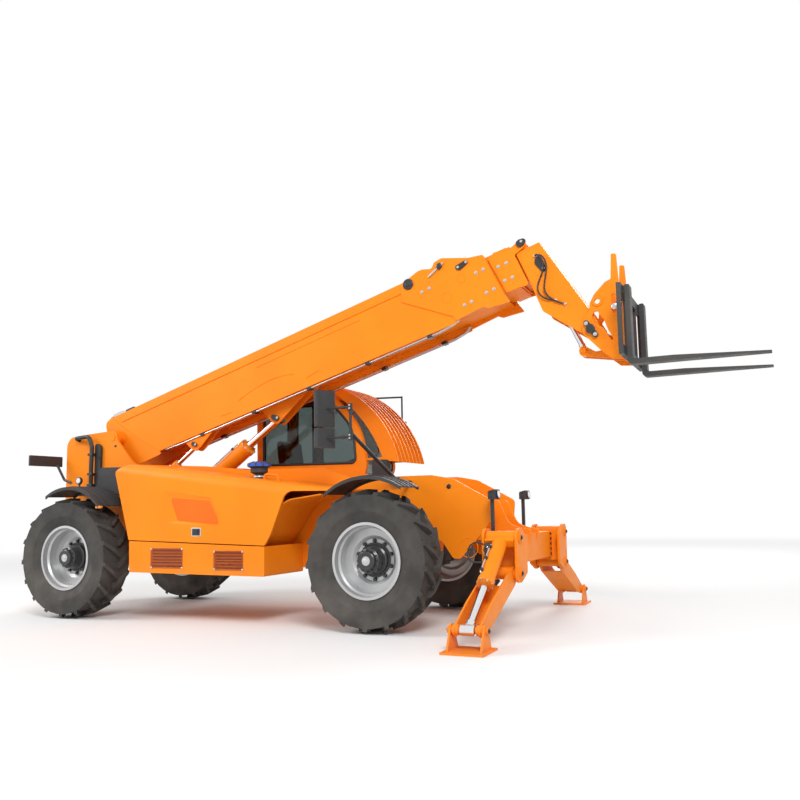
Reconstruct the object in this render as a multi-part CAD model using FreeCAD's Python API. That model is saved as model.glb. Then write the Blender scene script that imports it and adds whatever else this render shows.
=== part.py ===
"""Telescopic handler with stabilisers: every rigid piece as its own solid, in millimetres.

Working frame: +X forward, +Y left, +Z up, x = 0 at the front axle, z = 0 on the ground.
The finished pieces are moved along x so that the origin lies under the middle of the whole machine.
"""
import FreeCAD, Part
import math
import os
from FreeCAD import Placement, Rotation, Vector

# Driving dimensions: running gear
WHEELBASE = 3975.0
WHEEL_Y = 1005.0            # middle plane of each tyre
TYRE_RADIUS = 693.0         # out to the lugs' tips
TYRE_HALF_WIDTH = 200.0
CARCASS_RADIUS = 636.0      # tread between the lugs
LUG_COUNT = 17              # in each of the two rows
LUG_WIDTH = 46.0
BEAD_RADIUS = 356.0
RIM_HALF_WIDTH = 171.0
RIM_FLANGE_RADIUS = 372.0
RIM_WALL = 11.0
DISC_OFFSET = -29.0         # wheel disc, measured outboard from the tyre's middle plane
HUB_RADIUS = 150.0
KINGPIN_Y = 760.0
KINGPIN_RADIUS = 34.0
RUNNING_FIT = 0.05          # radial clearance of a pin or shaft in its bore

# Driving dimensions: chassis
FRAME_HALF = 385.0          # outer faces of the two side plates
FRAME_PLATE = 25.0
FRAME_FLOOR_Z = 860.0
FRAME_BELLY_Z = 560.0
TAIL_X = -WHEELBASE - 885.0
TOWER_TOP_Z = 2250.0

# Driving dimensions: boom, in its own frame (u along the boom from its pivot, v square to it)
PIVOT_X = -WHEELBASE - 95.0
PIVOT_Z = 2160.0
PIVOT_PIN_RADIUS = 45.0
BOOM_ANGLE = 16.3           # degrees above level, as parked
BOOM_HALF_WIDTH = 240.0
BOOM_TOP_V = 310.0
BOOM_FLOOR_V = -295.0       # underside of the box, between the two webs' lower edges
BOOM_SKIRT_V = -365.0       # lower edge of the webs
BOOM_WALL = 12.0
BOOM_TAIL_U = -200.0
OUTER_END_U = 5340.0
SECTION_GAP = 22.0          # free space between one section's wall and the next
TELESCOPE_STROKE = 4300.0

# Driving dimensions: cylinders and linkages, in the working frame at rest
LIFT_BASE = (-WHEELBASE + 375.0, 1020.0)
LIFT_EYE_UV = (2230.0, -505.0)
COMPENSATION_BASE = (-WHEELBASE - 75.0, 1170.0)
COMPENSATION_EYE_UV = (1100.0, -465.0)
COMPENSATION_Y = -160.0
NOSE_UV = (6100.0, -985.0)
TILT_BASE_UV = (5810.0, -200.0)
TILT_EYE_UV = (5939.0, -1124.0)

# Driving dimensions: stabilisers (y measured outwards)
LEG_X = 1268.0
LEG_PIVOT = (830.0, 570.0)
LEG_CYLINDER_TOP = (830.0, 900.0)
FOOT_PIN = (1755.0, 180.0)
FOOT_PIN_RADIUS = 30.0

# Driving dimensions: bodywork
POD_OUTER_Y = 1120.0
POD_REAR_X = -WHEELBASE + 940.0
POD_BACK_WALL = 12.0
POD_FRONT_X = -1215.0
SEAT = 0.3                  # gap between a piece and the face that carries it
POD_INNER_Y = FRAME_HALF + SEAT
HOOD_WALL = 25.0
HOOD_REAR_X = -WHEELBASE + 698.0
HOOD_INNER_Y = FRAME_HALF + 27.0
HOOD_HINGE_Y = FRAME_HALF + 15.0
HOOD_HINGES = (-2600.0, -1400.0)
HOOD_FALL = 0.131           # drop of the crown for each unit forward
HOOD_SHOULDER = 120.0
CAB_INNER_Y = FRAME_HALF + SEAT
CAB_OUTER_Y = 1165.0
CAB_REAR_X = -2400.0
TANK_OUTER_Y = 1080.0
CAB_WALL = 45.0
PANEL_GAP = 6.0
GLASS = 6.0

AXLES = {"front": 0.0, "rear": -WHEELBASE}
SIDES = {"left": 1, "right": -1}

pieces = {}


def rounded_edges(points, place):
    """Closed run of lines and arcs; a point is (a, b) or (a, b, corner radius)."""
    count = len(points)
    corners = []
    for index in range(count):
        here = points[index]
        a, b = here[0], here[1]
        radius = here[2] if len(here) > 2 else 0.0
        before = points[index - 1]
        after = points[(index + 1) % count]
        ax, ay = before[0] - a, before[1] - b
        bx, by = after[0] - a, after[1] - b
        la, lb = math.hypot(ax, ay), math.hypot(bx, by)
        ax, ay, bx, by = ax / la, ay / la, bx / lb, by / lb
        if radius <= 0.0:
            corners.append(((a, b), None, (a, b)))
            continue
        half = math.acos(max(-1.0, min(1.0, ax * bx + ay * by))) / 2.0
        reach = radius / math.tan(half)
        limit = 0.49 * min(la, lb)
        if reach > limit:
            reach = limit
            radius = reach * math.tan(half)
        depth = radius / math.sin(half) - radius
        if depth < 0.02:
            corners.append(((a, b), None, (a, b)))
            continue
        mx, my = ax + bx, ay + by
        length = math.hypot(mx, my)
        middle = (a + mx / length * depth, b + my / length * depth)
        start = (a + ax * reach, b + ay * reach)
        end = (a + bx * reach, b + by * reach)
        corners.append((start, middle, end))
    edges = []
    for index in range(count):
        start, middle, end = corners[index]
        if middle is not None:
            edges.append(Part.Arc(place(*start), place(*middle), place(*end)).toShape())
        following = corners[(index + 1) % count][0]
        if math.hypot(end[0] - following[0], end[1] - following[1]) > 0.001:
            edges.append(Part.LineSegment(place(*end), place(*following)).toShape())
    return edges


def face_of(points, place):
    return Part.Face(Part.Wire(rounded_edges(points, place)))


def slab_y(points, low, high):
    """Outline in (x, z), from y = low to y = high."""
    face = face_of(points, lambda a, b: Vector(a, low, b))
    return face.extrude(Vector(0, high - low, 0))


def slab_x(points, low, high):
    """Outline in (y, z), from x = low to x = high."""
    face = face_of(points, lambda a, b: Vector(low, a, b))
    return face.extrude(Vector(high - low, 0, 0))


def slab_z(points, low, high):
    """Outline in (x, y), from z = low to z = high."""
    face = face_of(points, lambda a, b: Vector(a, b, low))
    return face.extrude(Vector(0, 0, high - low))


def block(x0, x1, y0, y1, z0, z1):
    return Part.makeBox(x1 - x0, y1 - y0, z1 - z0, Vector(x0, y0, z0))


def rod_between(start, end, radius):
    start, end = Vector(*start), Vector(*end)
    return Part.makeCylinder(radius, (end - start).Length, start, end - start)


def pin_y(x, z, y0, y1, radius):
    return Part.makeCylinder(radius, y1 - y0, Vector(x, y0, z), Vector(0, 1, 0))


def pin_x(x0, x1, y, z, radius):
    return Part.makeCylinder(radius, x1 - x0, Vector(x0, y, z), Vector(1, 0, 0))


def turned_y(profile, x, y, z, side=1):
    """Solid of revolution about a line along y; profile is (outboard offset, radius)."""
    face = face_of([(a * side, r) + tuple(rest) for a, r, *rest in profile],
                   lambda a, r: Vector(x, y + a, z + r))
    return face.revolve(Vector(x, y, z), Vector(0, 1, 0), 360)


def mirrored(shape):
    return shape.mirror(Vector(0, 0, 0), Vector(0, 1, 0))


def fused(shapes):
    first = shapes[0]
    return first.multiFuse(shapes[1:]).removeSplitter() if len(shapes) > 1 else first


def cut(shape, tools):
    return shape.cut(Part.makeCompound(tools))


def on_boom(shape):
    """Move a piece from the boom's own frame to where the parked boom carries it."""
    moved = shape.copy()
    moved.Placement = Placement(Vector(PIVOT_X, 0, PIVOT_Z), Rotation(Vector(0, -1, 0), BOOM_ANGLE))
    return moved


def boom_point(u, v):
    c, s = math.cos(math.radians(BOOM_ANGLE)), math.sin(math.radians(BOOM_ANGLE))
    return (PIVOT_X + u * c - v * s, PIVOT_Z + u * s + v * c)


LIFT_EYE = boom_point(*LIFT_EYE_UV)
COMPENSATION_EYE = boom_point(*COMPENSATION_EYE_UV)
NOSE = boom_point(*NOSE_UV)
TILT_BASE = boom_point(*TILT_BASE_UV)
TILT_EYE = boom_point(*TILT_EYE_UV)


def group(shapes):
    """Solids that share a node without touching."""
    return shapes[0] if len(shapes) == 1 else Part.makeCompound(shapes)


def faceted_ring(profile, count):
    """Ring about y with flat facets that touch the profile's circles from outside; profile is (offset, radius)."""
    outward = 1.0 / math.cos(math.pi / count)
    sections = []
    for index in range(count):
        angle = 2.0 * math.pi * (index + 0.5) / count
        sections.append([Vector(r * outward * math.sin(angle), a, r * outward * math.cos(angle))
                         for a, r in profile])
    faces = []
    for index in range(count):
        here, after = sections[index - 1], sections[index]
        for step in range(len(profile)):
            corners = [here[step - 1], here[step], after[step], after[step - 1], here[step - 1]]
            faces.append(Part.Face(Part.makePolygon(corners)))
    return Part.Solid(Part.Shell(faces))


def tyre_lug(row):
    """Lug at the tyre's top: its profile stands along a slanting run and is extruded across it."""
    start, end = 4.0, TYRE_HALF_WIDTH - 1.0
    lead_in, lead_out = 54.0, -92.0

    def lead(a):
        return lead_in + (lead_out - lead_in) * (a - start) / (end - start)

    # columns: offset from the middle plane, height above the axle
    profile = [(start, 610.0)]
    for a, radius in ((start, TYRE_RADIUS - 3.0), (70.0, TYRE_RADIUS), (end, TYRE_RADIUS - 25.0)):
        far = max(abs(lead(a)), abs(lead(a) - LUG_WIDTH)) if a != 70.0 else 0.0
        profile.append((a, math.sqrt(radius ** 2 - far ** 2)))
    profile.append((end, 560.0))
    corners = [Vector(lead(a), row * a, z) for a, z in profile]
    return Part.Face(Part.makePolygon(corners + corners[:1])).extrude(Vector(-LUG_WIDTH, 0, 0))


def tyre_at_origin():
    # columns: offset from the middle plane, radius
    half = [(160.0, BEAD_RADIUS), (160.0, RIM_FLANGE_RADIUS + 4.0), (TYRE_HALF_WIDTH, 480.0),
            (TYRE_HALF_WIDTH, CARCASS_RADIUS)]
    carcass = faceted_ring(half + [(-a, r) for a, r in reversed(half)], 2 * LUG_COUNT)
    pitch = 360.0 / LUG_COUNT
    lugs = []
    for row, first in ((-1, 0.0), (1, pitch / 2.0)):
        lug = tyre_lug(row)
        for index in range(LUG_COUNT):
            copy = lug.copy()
            copy.rotate(Vector(0, 0, 0), Vector(0, 1, 0), first + index * pitch)
            lugs.append(copy)
    return carcass.multiFuse(lugs).removeSplitter()


TYRE = tyre_at_origin()


def tyre(axle_x, side):
    shape = TYRE.copy()
    shape.translate(Vector(axle_x, side * WHEEL_Y, TYRE_RADIUS))
    return shape


def wheel(axle_x, side):
    seat = BEAD_RADIUS - 0.3
    # columns: outboard offset, radius
    barrel = [
        (RIM_HALF_WIDTH, RIM_FLANGE_RADIUS),
        (160.3, RIM_FLANGE_RADIUS - 3.0),
        (160.3, seat),
        (112.0, seat - 8.0),
        (92.0, 330.0),
        (-92.0, 330.0),
        (-112.0, seat - 8.0),
        (-160.3, seat),
        (-160.3, RIM_FLANGE_RADIUS - 3.0),
        (-RIM_HALF_WIDTH, RIM_FLANGE_RADIUS),
        (-RIM_HALF_WIDTH, seat - RIM_WALL),
        (-112.0, seat - 8.0 - RIM_WALL),
        (-97.0, 330.0 - RIM_WALL),
        (97.0, 330.0 - RIM_WALL),
        (117.0, seat - 8.0 - RIM_WALL),
        (RIM_HALF_WIDTH, seat - RIM_WALL),
    ]
    disc = [
        (DISC_OFFSET, 0.0),
        (DISC_OFFSET, 205.0),
        (DISC_OFFSET + 26.0, 240.0),
        (DISC_OFFSET + 26.0, 325.0),
        (DISC_OFFSET + 12.0, 325.0),
        (DISC_OFFSET + 12.0, 248.0),
        (DISC_OFFSET - 14.0, 213.0),
        (DISC_OFFSET - 14.0, 0.0),
    ]
    hub = [
        (DISC_OFFSET - 70.0, 0.0),
        (DISC_OFFSET - 70.0, HUB_RADIUS),
        (DISC_OFFSET + 45.0, HUB_RADIUS),
        (DISC_OFFSET + 60.0, 128.0),
        (120.0, 118.0),
        (135.0, 95.0),
        (163.0, 88.0),
        (170.0, 40.0),
        (170.0, 0.0),
    ]
    place = (axle_x, side * WHEEL_Y, TYRE_RADIUS, side)
    solid = fused([turned_y(outline, *place) for outline in (barrel, disc, hub)])
    bore_in = side * (WHEEL_Y + DISC_OFFSET - 70.0)
    bore_out = bore_in + side * 90.0
    bore = pin_y(axle_x, TYRE_RADIUS, min(bore_in, bore_out), max(bore_in, bore_out),
                 SPINDLE_RADIUS + RUNNING_FIT)
    return cut(solid, [bore])


SPINDLE_RADIUS = 70.0
KNUCKLE_HALF_HEIGHT = 118.0
YOKE_GAP = 6.0
YOKE_EAR = 38.0
YOKE_TIP = 66.0             # radius of a yoke ear's end about the kingpin


def knuckle(axle_x, side):
    z = TYRE_RADIUS
    post = Part.makeCylinder(88.0, 2 * KNUCKLE_HALF_HEIGHT,
                             Vector(axle_x, side * KINGPIN_Y, z - KNUCKLE_HALF_HEIGHT))
    kingpin = Part.makeCylinder(KINGPIN_RADIUS, 2 * (KNUCKLE_HALF_HEIGHT + YOKE_GAP + YOKE_EAR),
                                Vector(axle_x, side * KINGPIN_Y,
                                       z - KNUCKLE_HALF_HEIGHT - YOKE_GAP - YOKE_EAR))
    flange_y = WHEEL_Y + DISC_OFFSET - 76.0
    spindle_end = WHEEL_Y + DISC_OFFSET + 18.0
    neck = turned_y([(0.0, 0.0), (0.0, 95.0), (YOKE_TIP + 6.0, 112.0), (YOKE_TIP + 7.0, 140.0),
                     (flange_y - KINGPIN_Y, 140.0),
                     (flange_y - KINGPIN_Y, SPINDLE_RADIUS), (spindle_end - KINGPIN_Y, SPINDLE_RADIUS),
                     (spindle_end - KINGPIN_Y, 0.0)], axle_x, side * KINGPIN_Y, z, side)
    inward = -1 if axle_x == AXLES["front"] else 1
    arm = slab_z([(axle_x, side * (KINGPIN_Y - 30.0)), (axle_x + inward * 195.0, side * (KINGPIN_Y - 30.0), 28.0),
                  (axle_x + inward * 195.0, side * (KINGPIN_Y + 28.0), 28.0),
                  (axle_x, side * (KINGPIN_Y + 45.0))], z - 60.0, z - 30.0)
    return fused([post, kingpin, neck, arm])


AXLE_HOUSING_RADIUS = 159.0


def axles():
    beams = []
    for axle_x in AXLES.values():
        z = TYRE_RADIUS
        half = [(0.0, AXLE_HOUSING_RADIUS), (70.0, AXLE_HOUSING_RADIUS - 3.0), (150.0, 142.0), (260.0, 108.0),
                (560.0, 95.0), (600.0, 95.0)]
        profile = [(-600.0, 0.0)] + [(-a, r) for a, r in reversed(half)] + half[1:] + [(600.0, 0.0)]
        parts = [turned_y(profile, axle_x, 0.0, z)]
        ear_low = KNUCKLE_HALF_HEIGHT + YOKE_GAP
        ear_high = ear_low + YOKE_EAR
        for side in SIDES.values():
            root = slab_y([(axle_x - 85.0, z - ear_high, 20.0), (axle_x + 85.0, z - ear_high, 20.0),
                           (axle_x + 85.0, z + ear_high, 20.0), (axle_x - 85.0, z + ear_high, 20.0)],
                          min(side * 590.0, side * 645.0), max(side * 590.0, side * 645.0))
            parts.append(root)
            for low in (z - ear_high, z + ear_low):
                tip = side * (KINGPIN_Y + YOKE_TIP)
                parts.append(slab_z([(axle_x - 85.0, side * 600.0), (axle_x - YOKE_TIP, tip, YOKE_TIP),
                                     (axle_x + YOKE_TIP, tip, YOKE_TIP), (axle_x + 85.0, side * 600.0)],
                                    low, low + YOKE_EAR))
        parts.append(pin_x(axle_x - TRUNNION_REACH, axle_x + TRUNNION_REACH, 0.0, z, TRUNNION_RADIUS))
        beam = fused(parts)
        holes = [Part.makeCylinder(KINGPIN_RADIUS + RUNNING_FIT, 2 * ear_high + 2.0,
                                   Vector(axle_x, side * KINGPIN_Y, z - ear_high - 1.0))
                 for side in SIDES.values()]
        beams.append(cut(beam, holes))
    return group(beams)


TRUNNION_REACH = 262.0
TRUNNION_RADIUS = 62.0
CRADLE_NEAR = 222.0
CRADLE_FAR = 254.0


def chassis_frame():
    rear = AXLES["rear"]
    # columns: x, z, corner radius; one side plate seen from the side
    plate = [
        (1020.0, 1256.0, 60.0),
        (600.0, 1485.0, 200.0),
        (360.0, 1530.0, 150.0),
        (-600.0, 1530.0, 200.0),
        (-950.0, 1655.0, 200.0),
        (rear + 1995.0, 1675.0, 300.0),
        (rear + 1395.0, 1735.0, 300.0),
        (rear + 275.0, 1800.0, 200.0),
        (PIVOT_X + 85.0, TOWER_TOP_Z - 130.0, 60.0),
        (PIVOT_X + 60.0, TOWER_TOP_Z, 70.0),
        (rear - 625.0, TOWER_TOP_Z - 35.0, 60.0),
        (TAIL_X, TOWER_TOP_Z - 60.0, 190.0),
        (TAIL_X, 1300.0, 100.0),
        (TAIL_X + 160.0, FRAME_FLOOR_Z, 80.0),
        (rear + 475.0, FRAME_FLOOR_Z, 100.0),
        (rear + 775.0, FRAME_BELLY_Z, 80.0),
        (-980.0, FRAME_BELLY_Z, 80.0),
        (-620.0, FRAME_FLOOR_Z, 100.0),
        (460.0, FRAME_FLOOR_Z, 80.0),
        (590.0, 670.0, 40.0),
        (665.0, 670.0, 30.0),
        (925.0, 945.0, 30.0),
        (1000.0, 1040.0, 60.0),
    ]
    inner = FRAME_HALF - FRAME_PLATE
    parts = [slab_y(plate, inner, FRAME_HALF), slab_y(plate, -FRAME_HALF, -inner)]
    lap = inner + 1.0
    parts.append(block(TAIL_X + 150.0, 900.0, -lap, lap, FRAME_FLOOR_Z, FRAME_FLOOR_Z + 22.0))
    parts.append(block(TAIL_X + 20.0, TAIL_X + 42.0, -lap, lap, 1150.0, 2080.0))
    parts.append(slab_y([(TAIL_X + 20.0, 1150.0), (TAIL_X + 42.0, 1150.0), (TAIL_X + 180.0, FRAME_FLOOR_Z + 20.0),
                         (TAIL_X + 150.0, FRAME_FLOOR_Z)], -lap, lap))
    parts.append(block(880.0, 902.0, -lap, lap, FRAME_FLOOR_Z, 1180.0))
    for axle_x in AXLES.values():
        for step in (-1, 1):
            near, far = sorted((axle_x + step * CRADLE_NEAR, axle_x + step * CRADLE_FAR))
            hanger = slab_x([(-190.0, FRAME_FLOOR_Z + 5.0), (190.0, FRAME_FLOOR_Z + 5.0),
                             (110.0, 600.0, 60.0), (-110.0, 600.0, 60.0)], near, far)
            parts.append(hanger.cut(pin_x(near - 1, far + 1, 0.0, TYRE_RADIUS, TRUNNION_RADIUS + RUNNING_FIT)))
    for x, z in (LIFT_BASE, COMPENSATION_BASE):
        y = 0.0 if (x, z) == LIFT_BASE else COMPENSATION_Y
        half = LIFT_EYE_HALF if y == 0.0 else COMPENSATION_EYE_HALF
        for low in (y - half - EAR_SIDE_GAP - 25.0, y + half + EAR_SIDE_GAP):
            foot = FRAME_FLOOR_Z + 10.0
            parts.append(slab_y([(x - 150.0, foot), (x + 120.0, foot), (x + 60.0, z + 60.0, 58.0),
                                 (x - 60.0, z + 60.0, 58.0)], low, low + 25.0))
        pin = LIFT_PIN_RADIUS if y == 0.0 else COMPENSATION_PIN_RADIUS
        parts.append(pin_y(x, z, y - half - EAR_SIDE_GAP - 20.0, y + half + EAR_SIDE_GAP + 20.0, pin))
    parts.append(pin_y(PIVOT_X, PIVOT_Z, -FRAME_HALF - 6.0, FRAME_HALF + 6.0, PIVOT_PIN_RADIUS))
    for low in (-inner, BOOM_HALF_WIDTH + 22.0):
        parts.append(pin_y(PIVOT_X, PIVOT_Z, low - 1.0, low + inner - BOOM_HALF_WIDTH - 21.0, 90.0))
    return fused(parts + hood_hinge_lugs())


EAR_SIDE_GAP = 6.0
LIFT_EYE_HALF = 55.0
LIFT_EYE_RADIUS = 64.0
LIFT_PIN_RADIUS = 36.0
COMPENSATION_EYE_HALF = 32.0
COMPENSATION_EYE_RADIUS = 46.0
COMPENSATION_PIN_RADIUS = 24.0
TILT_EYE_HALF = 45.0
TILT_EYE_RADIUS = 50.0
TILT_PIN_RADIUS = 28.0

BEAM_Z = (635.0, 910.0)
END_PLATE_INNER = 148.0     # from the leg's middle plane to each end plate
END_PLATE = 25.0


def front_crossbeam():
    z0, z1 = BEAM_Z
    beam = block(LEG_X - 120.0, LEG_X + 60.0, -720.0, 720.0, z0, z1)
    beam = beam.cut(block(LEG_X - 106.0, LEG_X + 46.0, -700.0, 700.0, z0 + 14.0, z1 - 14.0))
    parts = [beam]
    end = [(600.0, 560.0, 40.0), (LEG_PIVOT[0] - 40.0, 485.0, 60.0), (LEG_PIVOT[0] + 85.0, 490.0, 80.0),
           (LEG_PIVOT[0] + 80.0, 800.0, 60.0), (LEG_CYLINDER_TOP[0] + 85.0, 985.0, 80.0),
           (LEG_CYLINDER_TOP[0] - 75.0, 985.0, 60.0), (600.0, 890.0, 40.0)]
    for side in SIDES.values():
        outline = [(side * p[0], *p[1:]) for p in end]
        for low in (LEG_X - END_PLATE_INNER - END_PLATE, LEG_X + END_PLATE_INNER):
            parts.append(slab_x(outline, low, low + END_PLATE))
        wall = sorted((side * 700.0, side * 720.0))
        parts.append(block(LEG_X - END_PLATE_INNER - 2.0, LEG_X + END_PLATE_INNER + 2.0, wall[0], wall[1],
                           z0 - 40.0, z1 + 20.0))
        for y, z in (LEG_PIVOT, LEG_CYLINDER_TOP):
            parts.append(pin_x(LEG_X - END_PLATE_INNER - END_PLATE - 18.0,
                               LEG_X + END_PLATE_INNER + END_PLATE + 18.0, side * y, z, LEG_PIN_RADIUS))
            for low in (LEG_X - END_PLATE_INNER - END_PLATE - 10.0, LEG_X + END_PLATE_INNER + END_PLATE - 1.0):
                parts.append(pin_x(low, low + 11.0, side * y, z, LEG_PIN_RADIUS + 20.0))
    neck = block(902.0, LEG_X - 119.0, -250.0, 250.0, z0 + 20.0, z1 - 20.0)
    parts.append(neck)
    cheek = [(902.0, 700.0), (902.0, 1240.0, 30.0), (960.0, 1262.0, 25.0), (1010.0, 1250.0, 40.0),
             (1120.0, 1010.0, 260.0), (LEG_X - 30.0, z1 + 60.0, 60.0), (LEG_X + 82.0, z1 + 45.0, 30.0),
             (LEG_X + 60.0, 790.0), (LEG_X + 59.0, 760.0), (LEG_X - 60.0, 700.0)]
    for y in (-150.0, 125.0):
        parts.append(slab_y(cheek, y, y + 25.0))
    parts.append(block(902.0, 950.0, -130.0, 130.0, 1080.0, 1110.0))
    return fused(parts)


LEG_PIN_RADIUS = 32.0
LEG_PLATE = 16.0
LEG_PLATE_OUTER = 122.0     # outer faces of the leg's two side plates, from its middle plane


def leg_frame():
    """Unit vectors of the right-hand leg in (outwards, up): along it and square to it."""
    dy, dz = FOOT_PIN[0] - LEG_PIVOT[0], FOOT_PIN[1] - LEG_PIVOT[1]
    length = math.hypot(dy, dz)
    return (dy / length, dz / length), (-dz / length, dy / length), length


def stabiliser_leg(side):
    along, square, length = leg_frame()

    def at(s, t):
        return (side * (LEG_PIVOT[0] + s * along[0] + t * square[0]), LEG_PIVOT[1] + s * along[1] + t * square[1])

    # columns: distance along the leg, height above its pin line, corner radius
    outline = [(-62.0, 10.0, 50.0), (-40.0, 62.0, 40.0), (200.0, 92.0, 80.0), (length - 330.0, 78.0, 120.0),
               (length - 60.0, 48.0, 40.0), (length + 52.0, 40.0, 40.0), (length + 52.0, -44.0, 40.0),
               (length - 150.0, -92.0, 60.0), (60.0, -92.0, 60.0), (-62.0, -50.0, 50.0)]
    plate = [at(s, t) + (r,) for s, t, r in outline]
    parts = []
    for low in (LEG_X - LEG_PLATE_OUTER, LEG_X + LEG_PLATE_OUTER - LEG_PLATE):
        parts.append(slab_x(plate, low, low + LEG_PLATE))
    web = [at(90.0, -92.0), at(length - 235.0, -92.0), at(length - 235.0, -82.0), at(90.0, -82.0)]
    parts.append(slab_x(web, LEG_X - LEG_PLATE_OUTER + 2.0, LEG_X + LEG_PLATE_OUTER - 2.0))
    parts.append(pin_x(LEG_X - END_PLATE_INNER + 6.0, LEG_X + END_PLATE_INNER - 6.0,
                       side * LEG_PIVOT[0], LEG_PIVOT[1], 58.0))
    foot_y, foot_z = side * FOOT_PIN[0], FOOT_PIN[1]
    boss = FOOT_EAR_INNER - 4.0
    for low in (-boss, boss - 56.0):
        parts.append(pin_x(LEG_X + low, LEG_X + low + 56.0, foot_y, foot_z, 44.0))
    leg = fused(parts)
    return cut(leg, [
        pin_x(LEG_X - 200.0, LEG_X + 200.0, side * LEG_PIVOT[0], LEG_PIVOT[1], LEG_PIN_RADIUS + RUNNING_FIT),
        pin_x(LEG_X - 200.0, LEG_X + 200.0, foot_y, foot_z, FOOT_PIN_RADIUS + RUNNING_FIT)])


FOOT_EAR_INNER = 140.0
FOOT_EAR = 18.0


def stabiliser_foot(side):
    y, z = side * FOOT_PIN[0], FOOT_PIN[1]
    plate = block(LEG_X - 190.0, LEG_X + 190.0, y - 177.0, y + 177.0, 0.0, 20.0)
    parts = [plate]
    ear = [(y - 120.0, 18.0), (y + 120.0, 18.0), (y + 42.0, z + 20.0, 40.0), (y + 30.0, z + 50.0, 30.0),
           (y - 30.0, z + 50.0, 30.0), (y - 42.0, z + 20.0, 40.0)]
    for step in (-1, 1):
        near, far = sorted((LEG_X + step * FOOT_EAR_INNER, LEG_X + step * (FOOT_EAR_INNER + FOOT_EAR)))
        parts.append(slab_x(ear, near, far))
        near, far = sorted((LEG_X + step * (ROD_EYE_HALF + 4.0), LEG_X + step * (FOOT_EAR_INNER + FOOT_EAR + 22.0)))
        parts.append(pin_x(near, far, y, z, FOOT_PIN_RADIUS))
    return fused(parts)


ROD_EYE_HALF = 62.0
LEG_BARREL_LENGTH = 635.0


def stabiliser_barrel(side):
    top = (side * LEG_CYLINDER_TOP[0], LEG_CYLINDER_TOP[1])
    end = (side * FOOT_PIN[0], FOOT_PIN[1])
    return cylinder_barrel(top, end, "yz", LEG_X, 70.0, LEG_BARREL_LENGTH, 62.0, END_PLATE_INNER - 8.0,
                           LEG_PIN_RADIUS, 34.0)


def stabiliser_rod(side):
    top = (side * LEG_CYLINDER_TOP[0], LEG_CYLINDER_TOP[1])
    end = (side * FOOT_PIN[0], FOOT_PIN[1])
    return cylinder_rod(top, end, "yz", LEG_X, 34.0, LEG_BARREL_LENGTH - 95.0, 46.0, ROD_EYE_HALF, None)


def cylinder_line(base, eye, plane, offset):
    if plane == "xz":
        start, end = Vector(base[0], offset, base[1]), Vector(eye[0], offset, eye[1])
        axis = Vector(0, 1, 0)
    else:
        start, end = Vector(offset, base[0], base[1]), Vector(offset, eye[0], eye[1])
        axis = Vector(1, 0, 0)
    direction = (end - start).normalize()
    return start, end, direction, axis


def neck_block(start, direction, axis, half, height, reach):
    """Flat bar from an eye's centre into the end of its tube."""
    square = direction.cross(axis)
    corners = [start + axis * (a * half) + square * (b * height / 2.0)
               for a, b in ((-1, -1), (1, -1), (1, 1), (-1, 1))]
    return Part.Face(Part.makePolygon(corners + corners[:1])).extrude(direction * reach)


def cylinder_barrel(base, eye, plane, offset, radius, length, eye_radius, eye_half, pin_radius, rod_radius):
    """Hydraulic cylinder's barrel: eye at its base, tube, gland ring, and the rod's bore."""
    start, end, direction, axis = cylinder_line(base, eye, plane, offset)
    eye_part = Part.makeCylinder(eye_radius, 2 * eye_half, start - axis * eye_half, axis)
    tube_start = eye_radius + 26.0
    neck_height = min(eye_radius, radius) * 1.3
    neck = neck_block(start, direction, axis, eye_half, neck_height, tube_start + 2.0)
    tube = Part.makeCylinder(radius, length - tube_start, start + direction * tube_start, direction)
    gland = Part.makeCylinder(radius + 7.0, 60.0, start + direction * (length - 60.0), direction)
    barrel = fused([eye_part, neck, tube, gland])
    bore_start = tube_start + 12.0
    bore = Part.makeCylinder(rod_radius + 0.3, length - bore_start + 1.0, start + direction * bore_start, direction)
    pin = Part.makeCylinder(pin_radius + RUNNING_FIT, 2 * eye_half + 2.0, start - axis * (eye_half + 1.0), axis)
    return cut(barrel, [bore, pin])


def cylinder_rod(base, eye, plane, offset, radius, hidden_from, eye_radius, eye_half, pin_radius):
    """Hydraulic cylinder's rod, with its eye; the bore of the eye is left out where pin_radius is None."""
    start, end, direction, axis = cylinder_line(base, eye, plane, offset)
    reach = (end - start).Length
    rod = Part.makeCylinder(radius, reach - hidden_from - eye_radius * 0.5, start + direction * hidden_from, direction)
    head = Part.makeCylinder(eye_radius, 2 * eye_half, end - axis * eye_half, axis)
    shoulder = Part.makeCylinder(min(radius * 1.35, eye_half - 1.0), eye_radius * 1.1, end - direction * (eye_radius * 1.7), direction)
    return fused([rod, shoulder, head])


LIFT_BARREL_LENGTH = 1660.0
COMPENSATION_BARREL_LENGTH = 1060.0
TILT_BARREL_LENGTH = 560.0


def boom_tube(u0, u1, v0, v1, half, wall):
    outer = block(u0, u1, -half, half, v0, v1)
    return outer.cut(block(u0 - 1, u1 + 1, -half + wall, half - wall, v0 + wall, v1 - wall))


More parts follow.
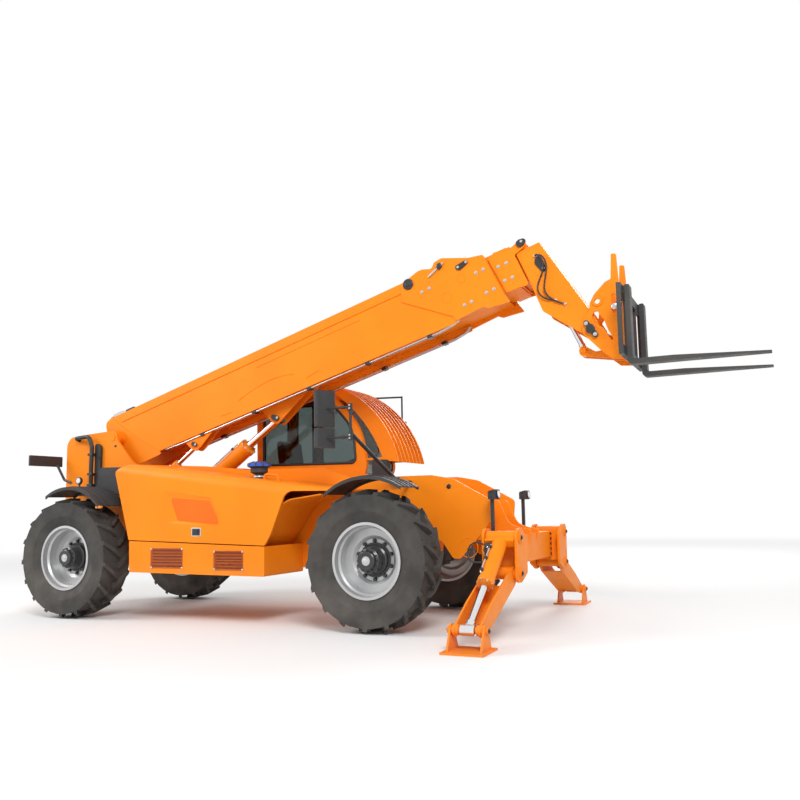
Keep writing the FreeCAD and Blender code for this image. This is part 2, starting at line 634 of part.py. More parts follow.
def boom_outer():
    half, wall = BOOM_HALF_WIDTH, BOOM_WALL
    web = [(BOOM_TAIL_U, BOOM_TOP_V - 30.0, 60.0), (BOOM_TAIL_U + 100.0, BOOM_TOP_V, 60.0),
           (OUTER_END_U - 410.0, BOOM_TOP_V, 60.0), (OUTER_END_U - 212.0, 250.0, 60.0),
           (OUTER_END_U - 50.0, 212.0, 20.0), (OUTER_END_U + 38.0, -276.0, 20.0),
           (OUTER_END_U + 80.0, -388.0, 10.0), (OUTER_END_U - 171.0, -358.0, 20.0),
           (OUTER_END_U - 217.0, -322.0, 20.0), (OUTER_END_U - 545.0, -344.0, 10.0),
           (OUTER_END_U - 550.0, BOOM_SKIRT_V, 5.0), (420.0, BOOM_SKIRT_V, 60.0),
           (120.0, BOOM_SKIRT_V - 60.0, 80.0), (BOOM_TAIL_U, -190.0, 100.0)]
    parts = [slab_y(web, half - wall, half), slab_y(web, -half, -half + wall)]
    lap = half - wall + 1.0
    parts.append(block(BOOM_TAIL_U + 80.0, OUTER_END_U - 420.0, -lap, lap, BOOM_TOP_V - wall, BOOM_TOP_V))
    parts.append(slab_y([(OUTER_END_U - 430.0, BOOM_TOP_V - wall), (OUTER_END_U - 414.0, BOOM_TOP_V - wall),
                         (OUTER_END_U - 212.0, 250.0 - wall), (OUTER_END_U - 52.0, 212.0 - wall),
                         (OUTER_END_U - 52.0, 212.0), (OUTER_END_U - 212.0, 250.0),
                         (OUTER_END_U - 410.0, BOOM_TOP_V), (OUTER_END_U - 430.0, BOOM_TOP_V)], -lap, lap))
    parts.append(block(430.0, OUTER_END_U, -lap, lap, BOOM_FLOOR_V, BOOM_FLOOR_V + wall))
    for side in SIDES.values():
        low, high = sorted((side * (half - 1.0), side * (half + 12.0)))
        end = OUTER_END_U
        # columns: u, v, corner radius; the reinforced end of the section, with two ears on top
        collar = [(end - 1042.0, 300.0, 20.0), (end - 941.0, 320.0, 20.0), (end - 800.0, 356.0, 50.0),
                  (end - 740.0, 352.0, 50.0), (end - 640.0, 313.0, 40.0), (end - 590.0, 368.0, 30.0),
                  (end - 500.0, 380.0, 50.0), (end - 212.0, 252.0, 100.0), (end - 48.0, 214.0, 20.0),
                  (end + 40.0, -276.0, 20.0), (end + 82.0, -390.0, 10.0), (end - 171.0, -360.0, 20.0),
                  (end - 217.0, -323.0, 20.0), (end - 551.0, -345.0, 10.0), (end - 564.0, -287.0, 10.0),
                  (end - 1082.0, 104.0, 20.0)]
        parts.append(slab_y(collar, low, high))
        for u, v, radius in ((end - 571.0, -58.0, 62.0), (end - 352.0, 73.0, 50.0)):
            low_y, high_y = sorted((side * (half + 11.0), side * (half + 15.0)))
            ring = pin_y(u, v, low_y, high_y, radius)
            parts.append(ring.cut(pin_y(u, v, low_y - 1.0, high_y + 1.0, radius - 12.0)))
        rear = [(BOOM_TAIL_U + 5.0, 260.0, 60.0), (-60.0, 285.0, 40.0), (260.0, -80.0, 400.0),
                (590.0, BOOM_SKIRT_V - 30.0, 30.0), (560.0, BOOM_SKIRT_V - 50.0, 20.0),
                (200.0, BOOM_SKIRT_V - 62.0, 60.0), (BOOM_TAIL_U + 5.0, -190.0, 80.0)]
        parts.append(slab_y(rear, low, high))
        ridge = sorted((side * (half - 1.0), side * (half + 9.0)))
        parts.append(slab_y([(60.0, 200.0), (4290.0, 200.0), (4290.0, 222.0), (60.0, 222.0)], *ridge))
    for y, (u, v), eye_half, pin, ear_top in (
            (0.0, LIFT_EYE_UV, LIFT_EYE_HALF, LIFT_PIN_RADIUS, 560.0),
            (COMPENSATION_Y, COMPENSATION_EYE_UV, COMPENSATION_EYE_HALF, COMPENSATION_PIN_RADIUS, 420.0)):
        for step in (-1, 1):
            near = y + step * (eye_half + EAR_SIDE_GAP)
            far = near + step * 22.0
            low, high = sorted((near, far))
            ear = [(u - 70.0, v - 30.0, 60.0), (u - 10.0, v - 85.0, 50.0), (u + 60.0, v - 60.0, 50.0),
                   (u + ear_top, BOOM_FLOOR_V - 30.0, 40.0), (u + ear_top + 40.0, BOOM_FLOOR_V + 2.0),
                   (u - 210.0, BOOM_FLOOR_V + 2.0), (u - 190.0, BOOM_FLOOR_V - 20.0, 30.0)]
            parts.append(slab_y(ear, low, high))
            stub = sorted((near - step * 4.0, far + step * 14.0))
            parts.append(pin_y(u, v, stub[0], stub[1], pin))
    for side in SIDES.values():
        boss = sorted((side * (half - 5.0), side * (half + 20.0)))
        parts.append(pin_y(0.0, 0.0, boss[0], boss[1], 105.0))
    parts += pads_inside(OUTER_END_U - 210.0, OUTER_END_U - 75.0, MID_V, MID_HALF, (OUTER_CAVITY_V[0], 205.0),
                         half - wall)
    shape = fused(parts)
    return shape.cut(pin_y(0.0, 0.0, -400.0, 400.0, PIVOT_PIN_RADIUS + RUNNING_FIT))


OUTER_CAVITY_V = (BOOM_FLOOR_V + BOOM_WALL, BOOM_TOP_V - BOOM_WALL)
MID_HALF = BOOM_HALF_WIDTH - BOOM_WALL - SECTION_GAP
MID_V = (BOOM_FLOOR_V + BOOM_WALL + SECTION_GAP, 188.0)
INNER_HALF = MID_HALF - BOOM_WALL - SECTION_GAP
INNER_V = (MID_V[0] + BOOM_WALL + 14.0, MID_V[1] - BOOM_WALL - 14.0)
MID_START_U = OUTER_END_U - 4840.0
MID_END_U = 5640.0
PAD_CLEARANCE = SEAT        # between a wear pad and the wall that it slides on


def pads_outside(u0, u1, section_v, half, around_v, around_half):
    """Wear pads on a section's walls, reaching out to the section around it."""
    v0, v1 = section_v
    reach = around_half - PAD_CLEARANCE
    pads = []
    for side in SIDES.values():
        low, high = sorted((side * (half - 2.0), side * reach))
        for a, b in ((v0 + 20.0, v0 + 120.0), (v1 - 120.0, v1 - 20.0)):
            pads.append(block(u0, u1, low, high, a, b))
        low, high = sorted((side * (half - 130.0), side * (half - 20.0)))
        pads.append(block(u0, u1, low, high, v1 - 2.0, around_v[1] - PAD_CLEARANCE))
        pads.append(block(u0, u1, low, high, around_v[0] + PAD_CLEARANCE, v0 + 2.0))
    return pads


def pads_inside(u0, u1, section_v, half, around_v, around_half):
    """Wear pads on the walls around a section, reaching in to it."""
    v0, v1 = section_v
    reach = half + PAD_CLEARANCE
    pads = []
    for side in SIDES.values():
        low, high = sorted((side * reach, side * (around_half + 2.0)))
        for a, b in ((v0 + 20.0, v0 + 120.0), (v1 - 120.0, v1 - 20.0)):
            pads.append(block(u0, u1, low, high, a, b))
        low, high = sorted((side * (half - 130.0), side * (half - 20.0)))
        pads.append(block(u0, u1, low, high, v1 + PAD_CLEARANCE, around_v[1] + 2.0))
        pads.append(block(u0, u1, low, high, around_v[0] - 2.0, v0 - PAD_CLEARANCE))
    return pads


def boom_mid():
    v0, v1 = MID_V
    parts = [boom_tube(MID_START_U, MID_END_U - 60.0, v0, v1, MID_HALF, BOOM_WALL)]
    start, end = OUTER_END_U, MID_END_U
    # columns: u, v, corner radius; the head's side plate, with the ear that holds the chain sheave
    head = [(start + 62.0, v0 - 14.0, 20.0), (start - 20.0, 152.0, 20.0), (start + 68.0, 198.0, 30.0),
            (end - 92.0, 152.0, 20.0), (end - 18.0, 176.0, 40.0), (end + 88.0, 212.0, 34.0),
            (end + 136.0, 176.0, 34.0), (end + 84.0, 112.0, 20.0), (end - 34.0, 76.0, 20.0),
            (end + 14.0, -288.0, 20.0), (end - 110.0, v0 - 14.0, 20.0)]
    for side in SIDES.values():
        low, high = sorted((side * (MID_HALF - 1.0), side * (MID_HALF + 14.0)))
        parts.append(slab_y(head, low, high))
    parts.append(block(start + 66.0, end - 80.0, -MID_HALF, MID_HALF, v0 - 16.0, v0 + 1.0))
    parts.append(block(start + 66.0, end - 100.0, -MID_HALF, MID_HALF, v1 - 1.0, v1 + 8.0))
    start = MID_START_U
    parts += pads_outside(start, start + 120.0, MID_V, MID_HALF, OUTER_CAVITY_V, BOOM_HALF_WIDTH - BOOM_WALL)
    cavity = (v0 + BOOM_WALL, v1 - BOOM_WALL)
    parts += pads_inside(MID_END_U - 200.0, MID_END_U - 62.0, INNER_V, INNER_HALF, cavity, MID_HALF - BOOM_WALL)
    return fused(parts)


HEAD_HALF = 200.0
HEAD_PLATE = 18.0


def boom_inner():
    v0, v1 = INNER_V
    parts = [boom_tube(OUTER_END_U - 4600.0, MID_END_U + 110.0, v0, v1, INNER_HALF, BOOM_WALL)]
    # columns: u, v, corner radius; the drop head's side plate
    end = MID_END_U
    nose_u, nose_v = NOSE_UV
    head = [(end - 18.0, 92.0, 20.0), (end + 248.0, 100.0, 12.0), (nose_u + 65.0, nose_v + 125.0, 60.0),
            (nose_u + 90.0, nose_v + 25.0, 80.0), (nose_u + 50.0, nose_v - 80.0, 80.0),
            (nose_u - 40.0, nose_v - 80.0, 60.0), (nose_u - 106.0, nose_v + 13.0, 40.0),
            (end + 58.0, -610.0, 60.0), (end + 30.0, -290.0, 20.0)]
    for low in (-HEAD_HALF, HEAD_HALF - HEAD_PLATE):
        parts.append(slab_y(head, low, low + HEAD_PLATE))
    lap = HEAD_HALF - 2.0
    parts.append(slab_y([(end + 236.0, 90.0), (end + 250.0, 96.0), (nose_u + 28.0, nose_v + 245.0),
                         (nose_u + 12.0, nose_v + 240.0)], -lap, lap))
    parts.append(slab_y([(end + 60.0, 78.0), (end + 244.0, 86.0), (end + 244.0, 100.0), (end + 60.0, 92.0)],
                        -lap, lap))
    parts.append(slab_y([(end + 50.0, -270.0), (end + 64.0, -280.0), (end + 76.0, -585.0), (end + 62.0, -589.0)],
                        -lap, lap))
    bu, bv = TILT_BASE_UV
    for step in (-1, 1):
        low, high = sorted((step * (TILT_EYE_HALF + EAR_SIDE_GAP), step * (HEAD_HALF + 4.0)))
        parts.append(pin_y(bu, bv, low, high, 55.0))
    parts.append(pin_y(bu, bv, -TILT_EYE_HALF - EAR_SIDE_GAP - 2.0, TILT_EYE_HALF + EAR_SIDE_GAP + 2.0,
                       TILT_PIN_RADIUS))
    shape = fused(parts)
    nu, nv = NOSE_UV
    boss = [pin_y(nu, nv, low, low + HEAD_PLATE + 30.0, 70.0) for low in (-HEAD_HALF, HEAD_HALF - HEAD_PLATE - 30.0)]
    shape = fused([shape] + boss)
    start = OUTER_END_U - 4600.0
    cavity = (MID_V[0] + BOOM_WALL, MID_V[1] - BOOM_WALL)
    shape = fused([shape] + pads_outside(start, start + 120.0, INNER_V, INNER_HALF, cavity, MID_HALF - BOOM_WALL))
    slot = block(MID_END_U + 115.0, end + 220.0, -INNER_HALF + 40.0, INNER_HALF - 40.0, v0 - 30.0, v0 + 60.0)
    return shape.cut(pin_y(nu, nv, -300.0, 300.0, NOSE_PIN_RADIUS + RUNNING_FIT)).cut(slot)


NOSE_PIN_RADIUS = 40.0
COUPLER_HALF = 232.0
COUPLER_PLATE = 20.0


def coupler():
    nx, nz = NOSE
    ex, ez = TILT_EYE
    # columns: x, z, corner radius, all from the nose pin; side plate seen from the side
    outline = [(277.7, 734.0, 12.0), (229.0, 741.0, 12.0), (215.0, 483.0, 20.0), (160.0, 464.0, 60.0),
               (45.0, 350.0, 60.0), (-3.0, 263.0, 50.0), (-11.0, 193.0, 60.0), (-93.0, 58.0, 60.0),
               (-78.0, -42.0, 60.0), (99.0, -230.0, 60.0), (197.0, -315.0, 30.0), (326.7, -327.0, 20.0),
               (324.7, 73.0, 60.0), (294.7, 411.0, 60.0)]
    # the same columns; leaf-shaped opening between the two pins
    opening = [(56.0, 198.0, 30.0), (133.0, 83.0, 60.0), (169.0, -23.0, 20.0), (219.0, -120.0, 14.0),
               (197.0, -134.0, 14.0), (130.0, -2.0, 60.0), (36.0, 64.0, 40.0), (12.0, 129.0, 40.0)]
    plate = [(nx + x, nz + z, r) for x, z, r in outline]
    leaf = slab_y([(nx + x, nz + z, r) for x, z, r in opening], -300.0, 300.0)
    parts = []
    slot = slab_y([(nx + 217.0, nz + 143.0, 22.0), (nx + 261.0, nz + 143.0, 22.0), (nx + 261.0, nz + 335.0, 22.0),
                   (nx + 217.0, nz + 335.0, 22.0)], -300.0, 300.0)
    boss_x, boss_z = nx + 74.0, nz + 275.0
    boss_hole = pin_y(boss_x, boss_z, -300.0, 300.0, 26.0)
    for low in (-COUPLER_HALF, COUPLER_HALF - COUPLER_PLATE):
        side = slab_y(plate, low, low + COUPLER_PLATE)
        ring_low = low - 8.0 if low < 0 else low + COUPLER_PLATE - 1.0
        ring = pin_y(boss_x, boss_z, ring_low, ring_low + 9.0, 52.0)
        parts.append(cut(fused([side, ring]), [leaf, slot, boss_hole]))
    inner = COUPLER_HALF - COUPLER_PLATE + 1.0
    parts.append(block(2352.0, 2368.0, -inner, inner, 2620.0, 3300.0))
    parts.append(block(2300.0, 2340.0, -inner, inner, 3330.0, 3370.0))
    parts.append(pin_y(nx, nz, -COUPLER_HALF - 12.0, COUPLER_HALF + 12.0, NOSE_PIN_RADIUS))
    for step in (-1, 1):
        near, far = sorted((step * (TILT_EYE_HALF + EAR_SIDE_GAP - 4.0), step * (TILT_EYE_HALF + EAR_SIDE_GAP + 40.0)))
        parts.append(pin_y(ex, ez, near, far, TILT_PIN_RADIUS))
        near, far = sorted((step * (TILT_EYE_HALF + EAR_SIDE_GAP), step * (TILT_EYE_HALF + EAR_SIDE_GAP + 24.0)))
        arm = [(ex - 52.0, ez + 20.0, 40.0), (ex, ez + 56.0, 40.0), (ex + 120.0, ez - 20.0, 40.0),
               (2360.0, 2760.0), (2360.0, 2625.0), (ex + 30.0, ez - 62.0, 40.0), (ex - 40.0, ez - 50.0, 40.0)]
        parts.append(slab_y(arm, near, far))
    return fused(parts)


FORK_Y = 420.0
FORK_LENGTH = 1200.0
FORK_WIDTH = 130.0
FORK_THICKNESS = 50.0
FORK_BACK_X = 2448.0
FORK_BOTTOM_Z = 2500.0
CARRIAGE_HALF = 590.0


def fork_carriage():
    back = 2388.3
    parts = []
    for z in (2590.0, 3180.0):
        parts.append(block(back, back + 45.0, -CARRIAGE_HALF, CARRIAGE_HALF, z, z + 90.0))
    for y in (-CARRIAGE_HALF, -232.0, 212.0, CARRIAGE_HALF - 20.0):
        parts.append(block(back, back + 44.0, y, y + 20.0, 2600.0, 3260.0))
    return fused(parts)


def forks():
    blades = []
    for side in SIDES.values():
        y0 = side * FORK_Y - FORK_WIDTH / 2
        heel = FORK_BACK_X
        tip = heel + FORK_THICKNESS + FORK_LENGTH
        z0 = FORK_BOTTOM_Z
        outline = [(heel, z0, 40.0), (tip, z0 + 4.0), (tip, z0 + 14.0), (heel + 420.0, z0 + FORK_THICKNESS, 400.0),
                   (heel + FORK_THICKNESS, z0 + FORK_THICKNESS, 30.0), (heel + 46.0, 3270.0, 10.0),
                   (heel, 3270.0, 10.0)]
        blade = slab_y(outline, y0, y0 + FORK_WIDTH)
        hooks = [block(FORK_BACK_X - 14.7, FORK_BACK_X + 1.0, y0 + 15.0, y0 + FORK_WIDTH - 15.0, z, z + 80.0)
                 for z in (2595.0, 3185.0)]
        blades.append(fused([blade] + hooks))
    return group(blades)


def pod_floor_z(x):
    """Inner face of the skirt's floor."""
    return 538.0 - 0.01235 * (x + 1235.0)


def engine_pod():
    """Skirt under the hood: outer panel with two grilles, floor and end walls."""
    outer, inner, wall = -POD_OUTER_Y, -POD_INNER_Y, 20.0
    # columns: x, z
    shape = [(POD_REAR_X - 10.0, 885.0, 12.0), (POD_REAR_X, 540.0, 20.0), (POD_FRONT_X, 518.0, 20.0),
             (POD_FRONT_X, 825.0, 12.0)]
    body = slab_y(shape, outer, inner)
    hollow = slab_y([(POD_REAR_X + 10.0, 1000.0), (POD_REAR_X + 19.0, pod_floor_z(POD_REAR_X + 19.0)),
                     (POD_FRONT_X - wall, pod_floor_z(POD_FRONT_X - wall)), (POD_FRONT_X - wall, 1000.0)],
                    outer + wall, inner - POD_BACK_WALL)
    windows = []
    bars = []
    # columns: grille's low x, high x, low z, high z
    for x0, x1, z0, z1 in ((POD_REAR_X + 320.0, POD_REAR_X + 745.0, 600.0, 795.0),
                           (POD_FRONT_X - 635.0, POD_FRONT_X - 275.0, 590.0, 770.0)):
        windows.append(block(x0, x1, outer - 1.0, outer + wall + 1.0, z0, z1))
        count = 6
        pitch = (z1 - z0) / count
        for step in range(1, count):
            z = z0 + step * pitch
            bars.append(block(x0 - 1.0, x1 + 1.0, outer + 5.0, outer + 12.0, z - 7.0, z + 7.0))
    return fused([cut(body, [hollow] + windows)] + bars)


def hood_top_z(x):
    """Height of the hood's crown: it falls evenly towards the front."""
    return 1728.0 - HOOD_FALL * (x + 2905.0)


def crown_prism(outer, inner, drop, radius):
    """Run of the hood's cross-section, with its rounded outer shoulder, along the falling crown."""
    x0, x1 = HOOD_REAR_X - 50.0, -300.0
    top = hood_top_z(x0) - drop
    section = face_of([(outer, 500.0), (inner, 500.0), (inner, top), (outer, top, radius)],
                      lambda a, b: Vector(x0, a, b))
    return section.extrude(Vector(x1 - x0, 0, hood_top_z(x1) - hood_top_z(x0)))


def engine_hood():
    outer, inner, wall = -POD_OUTER_Y, -HOOD_INNER_Y, HOOD_WALL
    front = -430.0
    # columns: x, z, corner radius; the hood seen from the side
    side = [(HOOD_REAR_X, 1672.0, 50.0), (-3150.0, hood_top_z(-3150.0) + 1.0, 200.0),
            (-2900.0, hood_top_z(-2900.0) + 1.0, 100.0), (front, hood_top_z(front) + 1.0), (front, 1382.0, 6.0),
            (-955.0, 1392.0, 120.0), (-1140.0, 950.0, 300.0), (POD_FRONT_X, 836.0, 20.0),
            (HOOD_REAR_X + 225.0, 896.0, 20.0)]
    cavity = [(HOOD_REAR_X + wall, 1655.0, 30.0), (-3140.0, hood_top_z(-3140.0) - wall, 180.0),
              (-2900.0, hood_top_z(-2900.0) + 1.0, 100.0), (front + 40.0, hood_top_z(front) + 1.0),
              (front + 40.0, 700.0), (-3010.0, 700.0)]
    body = slab_y(side, outer, inner).common(crown_prism(outer, inner, 0.0, HOOD_SHOULDER))
    hollow = slab_y(cavity, outer + wall, inner + 50.0).common(
        crown_prism(outer + wall, inner + 60.0, wall, HOOD_SHOULDER - wall))
    barrels = []
    slope = Vector(1.0, 0.0, -HOOD_FALL)
    for x in HOOD_HINGES:
        start = Vector(x - 60.0, -HOOD_HINGE_Y, hood_top_z(x - 60.0) - 12.0)
        barrels.append(Part.makeCylinder(10.0, 120.0, start, slope))
        barrels.append(block(x - 50.0, x + 50.0, inner - 30.0, -HOOD_HINGE_Y - 4.0,
                             hood_top_z(x) - 18.0, hood_top_z(x) - 7.0))
    shape = fused([body.cut(hollow)] + barrels).cut(hood_recess())
    pin_holes = [Part.makeCylinder(6.0 + RUNNING_FIT, 400.0,
                                   Vector(x - 200.0, -HOOD_HINGE_Y, hood_top_z(x - 200.0) - 12.0), slope)
                 for x in HOOD_HINGES]
    return cut(shape, pin_holes)


def hood_recess():
    """Sunk panel pressed into the hood's side: its rear and top flanks slope, the other two are steep."""
    y = -POD_OUTER_Y
    # columns: x, z of the rim, then x, z of the floor
    corners = [(-2636.0, 1449.0, -2489.0, 1367.0), (-1900.0, 1345.0, -1911.0, 1321.0),
               (-1756.0, 1034.0, -1772.0, 1043.0), (-2502.0, 1080.0, -2377.0, 1095.0)]
    rim = rounded_edges([(x, z, 50.0) for x, z, _, _ in corners], lambda a, b: Vector(a, y - 0.5, b))
    floor = rounded_edges([(x, z, 30.0) for _, _, x, z in corners], lambda a, b: Vector(a, y + 14.0, b))
    return Part.makeLoft([Part.Wire(rim), Part.Wire(floor)], True, True)


def air_precleaner():
    """Swirl pre-cleaner of the engine's air intake, on the hood's top."""
    x, y = -1582.0, -700.0
    base = hood_top_z(x)
    # columns: radius, height above the hood
    profile = [(0.0, 8.0), (60.0, 8.0), (52.0, 40.0), (95.0, 62.0), (95.0, 112.0), (128.0, 124.0, 8.0),
               (128.0, 158.0, 14.0), (60.0, 178.0, 20.0), (0.0, 180.0)]
    face = face_of(profile, lambda r, h: Vector(x + r, y, base + h))
    body = face.revolve(Vector(x, y, 0), Vector(0, 0, 1), 360)
    stem = Part.makeCylinder(42.0, 60.0, Vector(x, y, base - 30.0))
    crown = crown_prism(-POD_OUTER_Y, -HOOD_INNER_Y, -SEAT, HOOD_SHOULDER)
    return fused([body, stem]).cut(crown)


def hood_hinge_lugs():
    """Pins and lugs on the frame that carry the hood's hinge barrels."""
    lugs = []
    slope = Vector(1.0, 0.0, -HOOD_FALL)
    for x in HOOD_HINGES:
        start = Vector(x - 85.0, -HOOD_HINGE_Y, hood_top_z(x - 85.0) - 12.0)
        lugs.append(Part.makeCylinder(6.0, 170.0, start, slope))
        for low in (x - 85.0, x + 66.0):
            lugs.append(block(low, low + 18.0, -HOOD_HINGE_Y - 7.0, -FRAME_HALF + 1.0,
                              hood_top_z(low) - 28.0, hood_top_z(low) - 12.0))
    return lugs


def wheel_arch_liner():
    outer, inner = -POD_OUTER_Y + HOOD_WALL + 30.0, -POD_INNER_Y - POD_BACK_WALL - SEAT
    # columns: x, z, corner radius; a bent plate 12 thick
    path = [(-1440.0, pod_floor_z(-1440.0) + SEAT), (-1345.0, 815.0), (-1010.0, 1290.0), (-560.0, 1345.0)]
    back = [(x - 10.0, z + 10.0) for x, z in path]
    outline = [path[0] + (0.0,), path[1] + (120.0,), path[2] + (250.0,), path[3] + (0.0,),
               back[3] + (0.0,), back[2] + (262.0,), back[1] + (132.0,), back[0] + (0.0,)]
    return slab_y(outline, outer, inner)


def engine_block():
    """The engine as one plain block on its feet."""
    low = 640.0
    rear, front = POD_REAR_X + 135.0, POD_FRONT_X - 485.0
    body = slab_y([(rear, low, 40.0), (front, low, 40.0), (front, 1300.0, 60.0), (rear, 1420.0, 60.0)],
                  -980.0, -480.0)
    feet = []
    for x in (rear + 120.0, front - 200.0):
        for y in (-940.0, -600.0):
            feet.append(slab_y([(x, pod_floor_z(x) + SEAT), (x + 90.0, pod_floor_z(x + 90.0) + SEAT),
                                (x + 90.0, low + 5.0), (x, low + 5.0)], y, y + 80.0))
    return fused([body] + feet)


CAB_OUTLINE = [(-2380.0, 985.0, 40.0), (-930.0, 985.0, 60.0), (-925.0, 1440.0, 60.0), (-810.0, 1700.0, 200.0),
               (-900.0, 2200.0, 900.0), (-1330.0, 2640.0, 260.0), (-1620.0, 2705.0, 200.0), (-2300.0, 2715.0, 120.0),
               (-2400.0, 2560.0, 120.0)]


def cab_inner_outline():
    """The cab's outline moved inwards by its wall."""
    cx, cz = -1640.0, 1830.0
    rows = []
    for x, z, r in CAB_OUTLINE:
        dx = CAB_WALL if x < cx else -CAB_WALL
        dz = CAB_WALL if z < cz else -CAB_WALL
        rows.append((x + dx, z + dz if abs(z - cz) > 600.0 else z, r))
    return rows


DOOR_X = (-1960.0, -975.0)
DOOR_SILL_Z = 1040.0
DOOR_HEAD_Z = 2600.0


def door_outline(inset):
    """The door's outline; inset is how far it lies inside the cab's opening."""
    x0, x1 = DOOR_X[0] + inset, DOOR_X[1] - inset
    return [(x0, DOOR_SILL_Z + inset, 60.0), (x1, DOOR_SILL_Z + inset, 60.0), (x1 + 30.0, 1480.0, 60.0),
            (x1 + 60.0, 1720.0, 100.0), (x1 - 30.0, 2180.0, 700.0), (x1 - 340.0, DOOR_HEAD_Z - inset, 120.0),
            (x0, DOOR_HEAD_Z - inset, 60.0)]


def cab_windows():
    """Window openings as prisms, named by the wall they pierce."""
    right = slab_y([(-2290.0, 1765.0, 50.0), (-960.0, 1745.0, 60.0), (-990.0, 2160.0, 500.0), (-1370.0, 2570.0, 120.0),
                    (-2290.0, 2590.0, 60.0)], CAB_INNER_Y - 5.0, CAB_INNER_Y + CAB_WALL + 5.0)
    rear_left = slab_y([(-2290.0, 1400.0, 50.0), (-2030.0, 1400.0, 50.0), (-2030.0, 2590.0, 50.0),
                        (-2290.0, 2590.0, 50.0)], CAB_OUTER_Y - CAB_WALL - 5.0, CAB_OUTER_Y + 5.0)
    front = slab_x([(CAB_INNER_Y + 60.0, 1560.0, 40.0), (CAB_OUTER_Y - 60.0, 1560.0, 40.0),
                    (CAB_OUTER_Y - 60.0, 2560.0, 60.0), (CAB_INNER_Y + 60.0, 2560.0, 60.0)], -1250.0, -700.0)
    rear = slab_x([(CAB_INNER_Y + 70.0, 1600.0, 40.0), (CAB_OUTER_Y - 70.0, 1600.0, 40.0),
                   (CAB_OUTER_Y - 70.0, 2500.0, 60.0), (CAB_INNER_Y + 70.0, 2500.0, 60.0)], -2460.0, -2300.0)
    return {"right": right, "rear_left": rear_left, "front": front, "rear": rear}


DOOR_HINGES_Z = (1300.0, 2300.0)
HINGE_BARREL = 90.0
HINGE_RADIUS = 12.0


def door_hinge_lugs():
    """Hinge pins on the cab's rear pillar, each between two lugs on one leaf."""
    x, y = DOOR_X[0] + PANEL_GAP + 1.0, CAB_OUTER_Y + HINGE_RADIUS
    parts = []
    for z in DOOR_HINGES_Z:
        low, high = z - 24.0, z + HINGE_BARREL + 24.0
        parts.append(Part.makeCylinder(5.0, high - low, Vector(x, y, low)))
        for base in (low, z + HINGE_BARREL + 2.0):
            parts.append(Part.makeCylinder(HINGE_RADIUS, 22.0, Vector(x, y, base)))
            leaf = [(x - 62.0, CAB_OUTER_Y - 1.0), (DOOR_X[0] - 1.0, CAB_OUTER_Y - 1.0),
                    (DOOR_X[0] - 1.0, CAB_OUTER_Y + 1.0), (x, CAB_OUTER_Y + 1.0), (x, CAB_OUTER_Y + 7.0),
                    (x - 62.0, CAB_OUTER_Y + 7.0)]
            parts.append(slab_z(leaf, base, base + 22.0))
    return parts


def cab_shell():
    body = slab_y(CAB_OUTLINE, CAB_INNER_Y, CAB_OUTER_Y)
    hollow = slab_y(cab_inner_outline(), CAB_INNER_Y + CAB_WALL, CAB_OUTER_Y - CAB_WALL)
    doorway = slab_y(door_outline(0.0), CAB_OUTER_Y - CAB_WALL - 5.0, CAB_OUTER_Y + 5.0)
    return fused([cut(body, [hollow, doorway] + list(cab_windows().values()))] + door_hinge_lugs())


def cab_glass():
    windows = cab_windows()
    y = CAB_INNER_Y + CAB_WALL / 2
    panes = [windows["right"].common(slab_y(CAB_OUTLINE, y, y + GLASS))]
    y = CAB_OUTER_Y - CAB_WALL / 2
    panes.append(windows["rear_left"].common(slab_y(CAB_OUTLINE, y - GLASS, y)))
    skin = slab_y(CAB_OUTLINE, CAB_INNER_Y, CAB_OUTER_Y)
    shifted = [(x - 12.0, z - 8.0 if z > 2500 else z, r) for x, z, r in CAB_OUTLINE]
    deeper = [(x - 12.0 - GLASS, z - 12.0 if z > 2500 else z, r) for x, z, r in CAB_OUTLINE]
    shell = slab_y(shifted, CAB_INNER_Y, CAB_OUTER_Y).cut(slab_y(deeper, CAB_INNER_Y - 1, CAB_OUTER_Y + 1))
    panes.append(windows["front"].common(shell))
    panes.append(windows["rear"].common(block(-2372.0, -2366.0, CAB_INNER_Y, CAB_OUTER_Y, 1500.0, 2600.0)))
    solids = []
    for pane in panes:
        solids += [s for s in pane.Solids if s.Volume > 1e5]
    return group(solids)


def cab_door():
    frame = slab_y(door_outline(PANEL_GAP), CAB_OUTER_Y - CAB_WALL, CAB_OUTER_Y)
    x0, x1 = DOOR_X
    window = door_window()
    x, y = x0 + PANEL_GAP + 1.0, CAB_OUTER_Y + HINGE_RADIUS
    hinges = []
    bores = []
    for z in DOOR_HINGES_Z:
        hinges.append(Part.makeCylinder(HINGE_RADIUS, HINGE_BARREL, Vector(x, y, z)))
        hinges.append(block(x, x + 62.0, CAB_OUTER_Y - 1.0, CAB_OUTER_Y + 7.0, z, z + HINGE_BARREL))
        bores.append(Part.makeCylinder(5.0 + RUNNING_FIT, HINGE_BARREL + 2.0, Vector(x, y, z - 1.0)))
    return cut(fused([frame.cut(window)] + hinges), bores)


def door_window():
    x0, x1 = DOOR_X
    return slab_y([(x0 + 60.0, 1200.0, 60.0), (x1 - 70.0, 1200.0, 60.0), (x1 - 20.0, 1700.0, 100.0),
                   (x1 - 110.0, 2150.0, 500.0), (x1 - 400.0, 2540.0, 100.0), (x0 + 60.0, 2540.0, 60.0)],
                  CAB_OUTER_Y - CAB_WALL - 5.0, CAB_OUTER_Y + 5.0)


def cab_door_glass():
    y = CAB_OUTER_Y - CAB_WALL / 2
    slice_ = block(-3000.0, 0.0, y - GLASS / 2, y + GLASS / 2, 900.0, 2800.0)
    return door_window().common(slice_)


